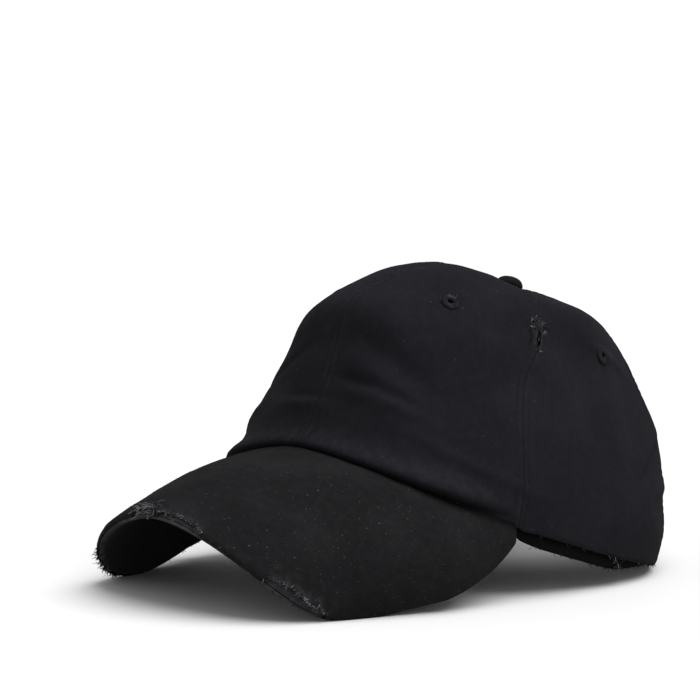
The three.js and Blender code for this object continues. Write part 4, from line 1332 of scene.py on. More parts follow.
@dataclass
class Brim:
    """The curved brim: a top cover, a board that shows where it is worn, and an under cover."""

    shape: CrownShape
    # Finish of the under cover, lighter than the top as painted light for the shaded underside.
    lightened_under_finish: Material
    widest_reach: float = 19.6
    curl: float = radians(105.7)
    flare: float = -0.37
    front_power: float = 0.77
    rear_power: float = 0.92
    cover: float = 1.0
    board: float = 1.4
    board_inset: float = 1.2
    limit: float = 0.96
    cloth_map_width: float = 0.145
    columns: int = 300
    rows: int = 84
    edge_row: float = 5.0
    row_step: float = 7.2
    quilt_rows: int = 7
    stitch_pace: float = 3.2
    stitch_length: float = 2.6
    bites: tuple = (
        Bite(0.36, 0.12, 0.050),
        Bite(0.44, 0.10, 0.045),
        Bite(0.08, 0.14, 0.030),
        Bite(-0.04, 0.08, 0.035),
    )
    rubbed: tuple = (
        (-0.05, 0.96, 0.055, 0.03),
        (-0.06, 0.2, 0.04, 0.03),
        (0.4, 0.93, 0.1, 0.03),
    )

    @property
    def reach(self) -> float:
        """Returns how far the brim reaches along its middle."""
        return self.shape.brim_reach

    def arch_point(self, bend: float, reach: float) -> Vector:
        """Returns a point of the arched sheet at a bend round it and a reach forward."""
        shape, share = self.shape, reach / self.reach
        half_width = shape.brim_half_width * (1 + self.flare * max(share, 0))
        drop = shape.arch_depth * (1 - cos(bend))
        slope = shape.brim_slope
        return Vector((
            half_width * signed_power(sin(bend), shape.arch_point),
            -shape.front_reach - reach * cos(slope) + drop * sin(slope),
            shape.brim_root_height - reach * sin(slope) - drop * cos(slope)
            - shape.brim_droop * share * abs(share),
        ))

    def edge(self, share: float, inset: float) -> Pair:
        """Returns the bend and the reach of the brim's edge at a share from its middle."""
        tip_bend, tip_reach = self.shape.brim_root(self.shape.brim_end)
        full = pi - math.asin(clamp(tip_bend / self.curl, 0, 1))
        turn = abs(share) * full
        ahead = cos(turn)
        rear = (self.widest_reach - tip_reach) / abs(cos(full)) ** self.rear_power
        if ahead > 0:
            reach = (self.reach - self.widest_reach) * ahead ** self.front_power
        else:
            reach = -rear * (-ahead) ** self.rear_power
        bend = math.copysign(self.curl * sin(turn), share)
        root_bend, root_reach = self.shape.brim_root(share * self.shape.brim_end)
        pull = inset / self.reach
        return lerp(bend, root_bend, pull), lerp(self.widest_reach + reach, root_reach, pull)

    def surface(self, share: float, out: float) -> Vector:
        """Returns a point of the brim's top, from its root (0) to its edge (1)."""
        root = self.shape.brim_root(share * self.shape.brim_end)
        edge = self.edge(share, 0)
        return self.arch_point(lerp(root[0], edge[0], out), lerp(root[1], edge[1], out))

    def down(self, share: float, out: float) -> Vector:
        """Returns the way through the brim's thickness."""
        step = 0.004
        at = min(out, 1 - step)
        along = self.surface(share + step, out) - self.surface(share - step, out)
        forward = self.surface(share, at + step) - self.surface(share, at)
        return along.cross(forward).normalized()

    def span(self, share: float, out: float) -> float:
        """Returns the way along the brim for each share, in millimetres."""
        return (self.surface(share + 0.01, out) - self.surface(share - 0.01, out)).length / 0.02

    def width(self, share: float) -> float:
        """Returns the way from the root to the edge, in millimetres."""
        stops = [self.surface(share, i / 6) for i in range(7)]
        return max(sum((b - a).length for a, b in zip(stops, stops[1:])), 0.5)

    def bitten(self, share: float, spot: Vector) -> float:
        """Returns how far the top cover's edge is worn back, in millimetres."""
        worn = 0.0
        for bite in self.bites:
            off = (share - bite.middle) * self.span(bite.middle, 1) / (bite.half * self.reach)
            if abs(off) < 1:
                worn = max(worn, bite.depth * self.reach * math.sqrt(1 - off * off))
        if worn > 0.2:
            worn = max(0.0, worn + 0.9 * ripple(spot, 2.2, 4) + 0.5 * ripple(spot, 0.9, 9))
        return worn

    def root_out(self, share: float, width: float) -> float:
        """Returns where the cover starts, just outside the roll of cloth over the root."""
        level = 0.045
        rise = self.shape.main_rise(share * self.shape.brim_end, level)
        return (max(rise, 0) + 0.75) / width

    def relief(self, off: float, spot: Vector) -> float:
        """Returns the relief of the top: rows of stitching sunk a little, and uneven cloth."""
        rise = 0.34 * ripple(spot, 22, 6) + 0.2 * ripple(spot, 8, 2) + 0.08 * ripple(spot, 3.2, 1)
        for row in range(self.quilt_rows):
            sunk = 0.1 if row == 0 else 0.05
            rise -= sunk * bell(off, self.edge_row + row * self.row_step, 0.7)
        return rise * smoothstep(off, 0.2, 2.5)

    def cover_sheet(self, name: str, top: bool) -> ClothSheet:
        """Makes one cover, rolled round the brim's edge.

        Args:
            name: The sheet's name.
            top: Whether it is the top cover.

        Returns:
            The sheet, ready to be woven.
        """
        half = self.shape.brim_thickness / 2
        roll_share = 0.1
        widths: dict[float, Pair] = {}

        def spot_at(u: float, v: float) -> Spot:
            """Lays one point of the cover."""
            share = self.limit * (2 * u - 1)
            if u not in widths:
                bitten = self.bitten(share, self.surface(share, 1)) if top else 0.0
                widths[u] = (self.width(share), bitten)
            width, bitten = widths[u]
            start = min(self.root_out(share, width), 0.9)
            flat_end = 1 - min(half / width, 0.4)
            turned = 0.0
            if v <= 1 - roll_share:
                t = v / (1 - roll_share)
                t = 1 - (1 - t) ** 1.25
                out = lerp(start, flat_end, t)
            else:
                turned = (v - 1 + roll_share) / roll_share * radians(85)
                out = flat_end + (1 - flat_end) * sin(turned)
            depth = half * (1 - cos(turned))
            torn = smoothstep(bitten, 0.15, 0.9)
            off = (1 - out) * width
            if torn > 0:
                back = flat_end if v <= 1 - roll_share else 1.0
                reach_out = lerp(start, 1 - bitten / width, (out - start) / (1 - start))
                out = lerp(out, reach_out, torn)
                depth = lerp(depth, -0.15 * smoothstep(out, back - 0.05, 1), torn)
                off = max((1 - bitten / width - out) * width, 0)
            spot = self.surface(share, out)
            rise = self.relief(off + 2 * torn, spot) if turned == 0 else 0.0
            away = self.down(share, min(out, 0.995))
            if top:
                place = spot + away * (depth - rise)
            else:
                place = spot + away * (self.shape.brim_thickness - depth + 0.4 * rise)
            wear_and_shade = 0.35 * bell(off, 0, 1.4) * patchy(spot, 6, 3)
            wear_and_shade += torn * (0.9 * bell(off, 0, 1.3) + 0.2 * bell(off, 0, 5))
            if top:
                wear_and_shade += 0.75 * self.rub(share, out, spot)
                # Painted shade on the brim's top along its root, under the crown's roll.
                wear_and_shade -= 0.95 * bell((out - start) * width, 0, 2.4)
            return Spot(place, self.cloth_at(share, out, width), clamp(wear_and_shade, -1, 1))

        return ClothSheet(name, self.columns, self.rows, spot_at, side=Side.IN if top else Side.OUT)

    def cloth_at(self, share: float, out: float, width: float) -> Pair:
        """Returns a point's place on the cloth map, in metres."""
        return share * self.cloth_map_width, out * width * MM

    def rub(self, share: float, out: float, spot: Vector) -> float:
        """Returns the worn patches on the brim's top."""
        rub = 0.0
        for at, reach, along, across in self.rubbed:
            near = hypot((share - at) / along, (out - reach) / across)
            rub += exp(-near * near) * patchy(spot, 2.0, at * 9, 0.4, 1.2)
        return rub

    def build(self, finisher: Finisher) -> None:
        """Builds the three layers and their stitching."""
        for name, node, top, finish in (
                ("brim_top_cloth", "brim_top_cover", True, None),
                ("brim_under_cloth", "brim_under_cover", False, self.lightened_under_finish)):
            sheet = self.cover_sheet(name, top)
            finisher.lay(sheet, Slot.BRIM, self.cover, [node], finish=finish)
        self.lay_board(finisher)
        self.sew(finisher)

    def lay_board(self, finisher: Finisher) -> None:
        """Lays the inner layer, which shows in the bites."""

        def spot_at(u: float, v: float) -> Spot:
            """Lays one point of the board."""
            share = self.limit * (2 * u - 1)
            width = self.width(share)
            start = min(self.root_out(share, width) + 0.5 / width, 0.9)
            inset = self.board_inset + 0.25 * ripple(self.surface(share, 1), 1.5, 3)
            end = 1 - min(inset / width, 0.5)
            out = lerp(start, end, v)
            spot = self.surface(share, out)
            depth = self.cover + 0.35 + 0.12 * ripple(spot, 2, 1)
            place = spot + self.down(share, min(out, 0.995)) * depth
            wear_and_shade = 0.5 * bell((end - out) * width, 0, 2.5)
            return Spot(place, self.cloth_at(share, out, width), wear_and_shade)

        sheet = ClothSheet("brim_board_edge", 240, 24, spot_at, side=Side.IN)
        finisher.lay(sheet, Slot.BOARD, self.board - 0.1, ["brim_board"])

    def sew(self, finisher: Finisher) -> None:
        """Sews the rows of stitching through the brim."""
        work, pose = ThreadWork("brim_stitches", 0.13), finisher.pose
        for row in range(self.quilt_rows):
            off = self.edge_row + row * self.row_step
            share = -self.limit
            while share < self.limit:
                width = self.width(share)
                if width < off + 6:
                    share += 0.01
                    continue
                out = 1 - off / width
                span = self.span(share, out)
                if self.bitten(share, self.surface(share, 1)) < 1 or row > 0:
                    holes = []
                    for end in (share, share + self.stitch_length / span):
                        spot = self.surface(end, out)
                        rise = self.relief(off, spot)
                        holes.append(pose.place(spot - self.down(end, out) * rise))
                    work.stitch(*holes, pose.turn(-self.down(share, out)), 0.03)
                share += self.stitch_pace / span
        finisher.sew_on(work)


@dataclass(frozen=True)
class CutEdge:
    """A cut edge on the crown, as angles and levels, round a hole or from end to end."""

    shape: CrownShape
    outline: list[Pair]
    closed: bool

    def away(self, here: int) -> tuple[Frame, Vector]:
        """Returns how the crown runs at a stop of the edge, and the way off the edge there."""
        count = len(self.outline)
        before, after = max(here - 1, 0), min(here + 1, count - 1)
        if self.closed:
            before, after = (here - 1) % count, (here + 1) % count
        frame = self.shape.frame(*self.outline[here])
        along = self.shape.base(*self.outline[after]) - self.shape.base(*self.outline[before])
        return frame, frame.out.cross(along).normalized()

    def beside(self, here: int, offset: float) -> Pair:
        """Returns the angle and the level that lie an offset off a stop of the edge."""
        frame, away = self.away(here)
        angle, level = self.outline[here]
        angle += away.dot(frame.along) * offset / frame.along.length_squared
        return angle, level + away.dot(frame.up) * offset / frame.up.length_squared


@dataclass
class BackOpening:
    """The bound teardrop hole, the bound arch under it, and the strap that closes the back."""

    shape: CrownShape
    half_width: float = 27
    bridge: float = 10
    top_level: float = 0.87
    point: float = 0.8
    binding_width: float = 6
    binding_tip: float = 3.6
    arch_half_width: float = 46
    arch_rise: float = 24
    shoulder: float = 0.6
    foot_room: float = 2
    arch_binding: float = 5.2
    binding_cloth: float = 1.0
    binding_room: float = 0.75
    strap_height: float = 22
    strap_cloth: float = 1.6
    strap_tuck: float = 9
    strap_overlap: float = 30
    laid_gap: float = 0.6
    patch_cloth: float = 0.9
    lift_run: float = radians(20)
    binding_stitch: float = 1.5
    strap_stitch: float = 2.4
    patch_length: float = 22
    patch_height: float = 15
    patch_up: float = 3.5
    stitch_pace: float = 3.4
    stitch_length: float = 2.7

    def __post_init__(self) -> None:
        """Measures the hem's arc and the levels of the two openings."""
        shape = self.shape
        self.hem_arc = shape.frame(pi, 0).along.length
        self.arch_half_angle = self.arch_half_width / self.hem_arc
        self.foot = self.strap_height + self.foot_room
        top = shape.level_up(pi, self.foot + self.arch_rise)
        self.tip_level = top + self.bridge / shape.frame(pi, top).up.length
        self.peak = max(self.teardrop(i * pi / 90) for i in range(90))
        self.hole = [self.flat(*stop) for stop in self.ponytail(160)]
        arch = self.arch(60)
        feet = (arch[0][0], -0.1), (arch[-1][0], -0.1)
        self.gate = [self.flat(*stop) for stop in (feet[0], *arch, feet[1])]

    def teardrop(self, turn: float) -> float:
        """Returns the teardrop's half width at a turn from its tip, before it is scaled."""
        return sin(turn) * sin(turn / 2) ** self.point

    @staticmethod
    def flat(angle: float, level: float) -> Pair:
        """Returns a place on the back as an angle from the back middle and a level."""
        return wrap_angle(angle - pi), level

    def ponytail(self, steps: int) -> list[Pair]:
        """Returns the teardrop as angles and levels, from its tip and back to it."""
        outline = []
        for i in range(steps):
            a = 2 * pi * (i + 0.5) / steps
            side = self.half_width * self.teardrop(a) / self.peak
            level = lerp(self.tip_level, self.top_level, (1 - cos(a)) / 2)
            outline.append((pi - side / self.shape.frame(pi, level).along.length, level))
        return outline

    def arch(self, steps: int) -> list[Pair]:
        """Returns the arch as angles and levels, from the wearer's left foot to the right one."""
        outline = []
        for i in range(steps):
            a = pi * i / (steps - 1)
            angle = pi - self.arch_half_angle * signed_power(cos(a), self.shoulder)
            height = self.foot + self.arch_rise * max(sin(a), 0) ** self.shoulder
            outline.append((angle, self.shape.level_up(angle, height)))
        return outline

    def inside(self, angle: float, level: float) -> bool:
        """Tells whether a place on the back lies in one of the two openings."""
        x, y = self.flat(angle, level)
        for outline in (self.hole, self.gate):
            odd = False
            for (ax, ay), (bx, by) in zip(outline, outline[1:] + outline[:1]):
                if (ay > y) != (by > y) and x < (bx - ax) * (y - ay) / (by - ay) + ax:
                    odd = not odd
            if odd:
                return True
        return False

    def binding(self, name: str, edge: CutEdge, width_at: Curve) -> ClothSheet:
        """Makes a strip folded over a cut edge.

        Args:
            name: The sheet's name.
            edge: The cut edge.
            width_at: The strip's width on the cloth, from the level.

        Returns:
            The sheet, ready to be woven.
        """
        shape, count = self.shape, len(edge.outline)
        rim = self.binding_cloth + self.binding_room
        spans = count if edge.closed else count - 1
        ways, seats = [0.0], [shape.base(*stop) for stop in edge.outline]
        for i in range(spans):
            ways.append(ways[-1] + (seats[(i + 1) % count] - seats[i]).length)
        fold, lip, profile_steps = 0.22, 0.25, 30

        def spot_at(u: float, v: float) -> Spot:
            """Lays one point of the strip."""
            number = round(u * spans)
            here = number % count
            width = width_at(edge.outline[here][1])
            across = (v - 0.5) * 2
            leg = abs(across)
            if leg > fold:
                share = (leg - fold) / (1 - fold)
                offset = lerp(-lip, width, share)
                seat = seats[here] + edge.away(here)[1] * offset
                high = rim - lip * smoothstep(share, 0.55, 1) - 0.85 * smoothstep(share, 0.9, 1)
                high -= 0.3 * bell(offset, width - self.binding_stitch, 0.45)
                high += 0.18 * ripple(seat, 4.5, 3) * smoothstep(share, 0, 0.4)
                high = max(high, 0.25)
            else:
                turn = leg / fold * pi / 2
                offset = -lip - (rim - lip) * cos(turn)
                high = rim * sin(turn)
            middle = shape.cloth / 2
            depth = middle - math.copysign(high + middle * min(1.0, leg / fold), across)
            place = shape.point(*edge.beside(here, offset), depth)
            wear_and_shade = 0.3 * bell(offset, -0.8, 1.2) * patchy(place, 6, 1)
            wear_and_shade += 0.22 * bell(offset, width, 0.7)
            return Spot(place, (ways[number] * MM, across * 0.012), wear_and_shade)

        return ClothSheet(name, spans, profile_steps, spot_at, closed=edge.closed)

    def build(self, finisher: Finisher) -> None:
        """Builds the bindings, the straps and their stitching."""
        work = ThreadWork("back_stitches", 0.17)

        def hole_width(level: float) -> float:
            """Returns the teardrop binding's width, narrower at the tip."""
            open_level = lerp(self.tip_level, self.top_level, 0.4)
            share = smoothstep(level, self.tip_level, open_level)
            return lerp(self.binding_tip, self.binding_width, share)

        for name, outline, closed, width_at in (
                ("ponytail_binding", self.ponytail(200), True, hole_width),
                ("strap_opening_binding", self.arch(150), False, lambda _: self.arch_binding)):
            edge = CutEdge(self.shape, outline, closed)
            sheet = self.binding(name + "_cloth", edge, width_at)
            finisher.lay(sheet, Slot.CROWN, self.binding_cloth * 0.8, [name])
            self.sew_binding(work, finisher.pose, edge, width_at)
        self.lay_straps(finisher, work)
        finisher.sew_on(work)

    def sew_binding(self, work: ThreadWork, pose: RestPose, edge: CutEdge,
                    width_at: Curve) -> None:
        """Sews the row of stitches along a binding's outer leg."""
        depth = 0.35 - self.binding_cloth - self.binding_room
        places, outs = [], []
        for here, (_, level) in enumerate(edge.outline):
            stop = edge.beside(here, width_at(level) - self.binding_stitch)
            places.append(pose.place(self.shape.point(*stop, depth)))
            outs.append(pose.turn(edge.away(here)[0].out))
        self.sew_path(work, places, outs, edge.closed)

    def sew_path(self, work: ThreadWork, places: list[Vector], outs: list[Vector],
                 closed: bool = False) -> None:
        """Sews stitches along a path of places, each with its way out."""
        stops = places + places[:1] if closed else places
        pace, length = self.stitch_pace * MM, self.stitch_length * MM
        way, start, sewing = 0.0, stops[0], True
        for i in range(1, len(stops)):
            way += (stops[i] - stops[i - 1]).length
            if sewing and way >= length:
                work.stitch(start, stops[i], outs[(i - 1) % len(outs)], 0.22)
                sewing = False
            elif not sewing and way >= pace:
                start, way, sewing = stops[i], 0.0, True

    def lay_straps(self, finisher: Finisher, work: ThreadWork) -> None:
        """Lays the left strap over the right tab, with the patch between them."""
        shape, arc = self.shape, self.hem_arc
        tucked = shape.cloth + self.laid_gap
        proud = tucked - self.strap_cloth - self.patch_cloth - 2 * self.laid_gap
        tuck = self.strap_tuck / arc
        left_from = pi - self.arch_half_angle - tuck
        left_to = pi + self.arch_half_angle - 6 / arc
        right_from = left_to - self.strap_overlap / arc
        right_to = pi + self.arch_half_angle + tuck

        def left_depth(angle: float) -> float:
            """Returns the left strap's depth, which rises over the right tab."""
            start = pi - self.arch_half_angle + 3 / arc
            return lerp(tucked, proud, smoothstep(angle, start, start + self.lift_run))

        for name, start, end, depth_at, columns in (
                ("strap_left", left_from, left_to, left_depth, 130),
                ("strap_right", right_from, right_to, lambda _: tucked, 64)):
            sheet = self.strap(name + "_cloth", start, end, depth_at, columns)
            finisher.lay(sheet, Slot.CROWN, self.strap_cloth, [name])
            for up in (self.strap_stitch, self.strap_height - self.strap_stitch):
                self.sew_row(work, finisher.pose, start, end, up, depth_at)
        last = left_to - 2.2 / arc
        out = finisher.pose.turn(shape.frame(last, 0.1).out)
        ups = [2.6 + 0.42 * i for i in range(41)]
        for step in (0.0, 3.0):
            stops = [shape.point(last - step / arc, shape.level_up(last, up), proud - 0.05)
                     for up in ups]
            self.sew_path(work, [finisher.pose.place(stop) for stop in stops], [out] * len(ups))
        middle = (right_from + left_to) / 2
        self.lay_patch(finisher, middle, tucked - self.laid_gap - self.patch_cloth)

    def strap(self, name: str, start: float, end: float, depth_at: Curve,
              columns: int) -> ClothSheet:
        """Returns one strap as a sheet with folded, stitched edges."""
        shape = self.shape

        def spot_at(u: float, v: float) -> Spot:
            """Lays one point of the strap."""
            angle = lerp(start, end, u)
            up = self.strap_height * v
            edge = min(up, self.strap_height - up, (end - angle) * self.hem_arc + 0.2)
            level = shape.level_up(angle, up)
            seat = shape.base(angle, level)
            rise = 0.3 * ripple(seat, 11, 7) + 0.12 * ripple(seat, 3.6, 2)
            rise -= 0.28 * bell(edge, self.strap_stitch, 0.6) + 0.45 * bell(edge, 0, 0.8)
            wear_and_shade = 0.4 * bell(edge, 0.5, 0.9) * patchy(seat, 5, 3)
            place = shape.ply(angle, level, depth_at(angle) - rise)
            return Spot(place, ((angle - start) * self.hem_arc * MM, up * MM), wear_and_shade)

        return ClothSheet(name, columns, 30, spot_at)

    def sew_row(self, work: ThreadWork, pose: RestPose, start: float, end: float, up: float,
                depth_at: Curve) -> None:
        """Sews one row along a strap."""
        shape, places, outs, steps = self.shape, [], [], 240
        for i in range(steps + 1):
            angle = lerp(start, end - 2 / self.hem_arc, i / steps)
            level = shape.level_up(angle, up)
            rise = 0.3 * ripple(shape.base(angle, level), 11, 7) - 0.2
            places.append(pose.place(shape.ply(angle, level, depth_at(angle) - rise)))
            outs.append(pose.turn(shape.frame(angle, level).out))
        self.sew_path(work, places, outs)

    def lay_patch(self, finisher: Finisher, middle: float, depth: float) -> None:
        """Lays the hook and loop patch between the straps."""
        shape = self.shape

        def spot_at(u: float, v: float) -> Spot:
            """Lays one point of the patch, fuzzy with loops."""
            angle = middle + (u - 0.5) * self.patch_length / self.hem_arc
            level = shape.level_up(angle, self.patch_up + self.patch_height * v)
            fuzz = 0.1 * ripple(shape.base(angle, level), 0.9, 1)
            place = shape.ply(angle, level, depth - fuzz)
            return Spot(place, (u * self.patch_length * MM, v * self.patch_height * MM))

        sheet = ClothSheet("closure_patch_loops", 48, 32, spot_at)
        finisher.lay(sheet, Slot.BAND, self.patch_cloth, ["closure_patch"])


@dataclass
class Sweatband:
    """The soft band inside the rim, which hangs a little below the hem at the sides."""

    shape: CrownShape
    height: float = 26
    cloth: float = 1.2
    drop: float = 5
    end: float = radians(132)
    fade_from: float = radians(86)
    fade_to: float = radians(114)
    start_before: float = radians(10)
    start_after: float = radians(6)
    laid_gap: float = 0.6
    columns: int = 320
    rows: int = 36

    def hang(self, angle: float) -> float:
        """Returns how far the band hangs below the hem behind the brim."""
        return self.drop * (1 - smoothstep(abs(angle), self.fade_from, self.fade_to))

    def low(self, angle: float) -> float:
        """Returns the height of the band's lower edge over the hem."""
        start, end = self.shape.brim_end - self.start_before, self.shape.brim_end + self.start_after
        return -self.hang(angle) * smoothstep(abs(angle), start, end)

    def build(self, finisher: Finisher) -> None:
        """Builds the band with a rolled lower edge."""
        shape = self.shape

        def spot_at(u: float, v: float) -> Spot:
            """Lays one point of the band."""
            angle = lerp(-self.end, self.end, u)
            up = lerp(self.low(angle), self.height, v)
            level = shape.level_up(angle, up)
            seat = shape.base(angle, level)
            edge = up - self.low(angle)
            puff = 0.3 * bell(edge, 2, 1.6) - 0.3 * bell(edge, 5, 0.6) + 0.2 * ripple(seat, 7, 4)
            depth = shape.cloth + self.laid_gap + max(shape.main_rise(angle, level), 0)
            wear_and_shade = 0.6 * bell(edge, 0, 0.8) * patchy(seat, 5, 9, 0.2)
            place = shape.ply(angle, level, depth - min(puff, 0.25))
            return Spot(place, (u * 0.5, up * MM), wear_and_shade)

        sheet = ClothSheet("sweatband_cloth", self.columns, self.rows, spot_at)
        finisher.lay(sheet, Slot.BAND, self.cloth, ["sweatband"])


class Knot(NamedTuple):
    """A bunch of threads by the slit: its middle and spread beside and up the seam."""

    beside: float
    wide: float
    up: float
    high: float
    length: float
    count: int


@dataclass
class Frays:
    """Loose threads at the slit, the torn brim edge, the hem and the band."""

    crown: Crown
    brim: Brim
    band: Sweatband
    pose: RestPose
    rng: random.Random = field(default_factory=lambda: random.Random(11))
    pale: ThreadWork = field(default_factory=lambda: ThreadWork("frayed_threads_pale", 0.11))
    dark: ThreadWork = field(default_factory=lambda: ThreadWork("frayed_threads_dark", 0.17))
    upper_knot: Knot = Knot(-0.2, 2.3, 6.6, 1.5, 2.4, 150)
    lower_knot: Knot = Knot(0.8, 0.7, -7.4, 0.7, 1.8, 26)

    def build(self, finisher: Finisher) -> None:
        """Builds a pale bundle and a dark one."""
        self.fray_slit()
        self.fray_brim()
        self.fray_hem()
        self.fray_eyelet()
        fray = ThreadFinish("pale_frayed_thread", (0.06, 0.061, 0.064), (0.2, 0.2, 0.21)).build()
        finisher.sew_on(self.pale, Slot.BOARD, fray)
        finisher.sew_on(self.dark)

    def pick(self, pale_share: float) -> ThreadWork:
        """Returns the pale bundle with the given chance, or else the dark one."""
        return self.pale if self.rng.random() < pale_share else self.dark

    def fray_slit(self) -> None:
        """Frays the slit's upper end and its lips, with a knot under it."""
        shape, slit, rng = self.crown.shape, self.crown.slit, self.rng
        frame = self.crown.slit_frame()
        spots = self.scatter(self.upper_knot)
        spots += [(rng.choice((-1, 1)) * 1.5, rng.uniform(-6.5, 6), 2.0) for _ in range(46)]
        spots += self.scatter(self.lower_knot)
        for beside, up, length in spots:
            level = slit.level + up / frame.up.length
            bow = shape.bow(shape.front_seam, level)
            angle = shape.front_seam + bow + beside / frame.along.length
            root = self.pose.place(shape.point(angle, level, 0.1))
            way = frame.along.normalized() * rng.gauss(-0.1, 0.8)
            way += frame.up.normalized() * rng.gauss(-0.2, 0.8)
            way += frame.out * rng.uniform(0.15, 0.5)
            work = self.pick(0.75)
            work.loose(root, self.pose.turn(way), length * rng.uniform(0.5, 1.5), 0.8, rng)

    def scatter(self, knot: Knot) -> list[tuple[float, float, float]]:
        """Returns where the threads of a knot start beside and up the seam, and their length."""
        gauss = self.rng.gauss
        return [(gauss(knot.beside, knot.wide), gauss(knot.up, knot.high), knot.length)
                for _ in range(knot.count)]

    def fray_eyelet(self) -> None:
        """Frays the rim of the front left eyelet."""
        crown, shape, rng = self.crown, self.crown.shape, self.rng
        frame = shape.frame(crown.front_eyelet, crown.eyelet_level)
        for _ in range(26):
            turn = rng.uniform(1.3, 3.5)
            spread = rng.gauss(4.0, 0.7)
            angle = crown.front_eyelet + spread * cos(turn) / frame.along.length
            level = crown.eyelet_level + spread * sin(turn) / frame.up.length
            way = frame.along.normalized() * rng.gauss(0, 1)
            way += frame.up.normalized() * rng.gauss(0, 1) + frame.out * 0.3
            root = self.pose.place(shape.point(angle, level, -0.3))
            self.pale.loose(root, self.pose.turn(way), rng.uniform(0.5, 1.8), 0.5, rng)

    def fray_brim(self) -> None:
        """Frays the bites and roughens the far lobe."""
        brim, rng = self.brim, self.rng
        for bite in brim.bites:
            half = bite.half * brim.reach / brim.span(bite.middle, 1)
            for _ in range(int(560 * bite.half)):
                share = bite.middle + rng.uniform(-1, 1) * half
                bitten = brim.bitten(share, brim.surface(share, 1))
                out = 1 - (bitten + rng.uniform(-0.3, 1.2)) / brim.width(share)
                self.edge_thread(share, out, 0.62, 1.7)
        for _ in range(190):
            self.edge_thread(rng.gauss(-0.43, 0.07), 1.0, 0.08, 2.5)
        for _ in range(90):
            self.edge_thread(rng.uniform(-0.9, 0.9), 1.0, 0.15, 0.9)
        for _ in range(60):
            share, out = rng.gauss(-0.04, 0.028), clamp(rng.gauss(0.965, 0.02), 0.9, 1)
            self.edge_thread(share, out, 0.85, 3.2)

    def edge_thread(self, share: float, out: float, pale_share: float, length: float) -> None:
        """Adds one thread near the brim's edge.

        Args:
            share: Place along the brim.
            out: Place out from its root.
            pale_share: Chance that the thread is pale.
            length: Its usual length in millimetres.
        """
        brim, rng = self.brim, self.rng
        out = min(out, 0.999)
        down = brim.down(share, out)
        depth = rng.uniform(0.6, 3.4) if out > 0.998 else 0.0
        root = self.pose.place(brim.surface(share, out) + down * depth)
        forward = (brim.surface(share, 1) - brim.surface(share, 0.97)).normalized()
        way = forward * rng.uniform(0.2, 1) + down.cross(forward) * rng.gauss(0, 0.9)
        way = self.pose.turn(way - down * rng.gauss(0.1, 0.4))
        self.pick(pale_share).loose(root, way, length * rng.uniform(0.4, 1.4), 0.45, rng)

    def fray_hem(self) -> None:
        """Frays the hem and the band's lower edge here and there."""
        shape, rng = self.crown.shape, self.rng
        for _ in range(130):
            angle = rng.choice((-1, 1)) * rng.uniform(1.1, 2.2)
            on_band = rng.random() < 0.5
            level = shape.level_up(angle, -self.band.hang(angle) if on_band else 0.0)
            root = self.pose.place(shape.point(angle, level, 2.4 if on_band else 0.2))
            frame = shape.frame(angle, 0)
            way = frame.along.normalized() * rng.gauss(0, 0.8)
            way -= frame.up.normalized() * rng.uniform(0.1, 0.8)
            work = self.pick(0.07)
            way = self.pose.turn(way + frame.out * rng.uniform(0, 0.4))
            work.loose(root, way, rng.uniform(0.8, 2.6), 0.5, rng)
        for _ in range(70):
            angle = radians(rng.gauss(93, 1.2))
            level = shape.level_up(angle, rng.uniform(-5.4, 0.5))
            root = self.pose.place(shape.point(angle, level, rng.uniform(0.4, 2.4)))
            way = Vector([rng.uniform(-1, 1) for _ in range(3)])
            self.pick(0.4).loose(root, way, rng.uniform(1.0, 2.6), 0.7, rng)


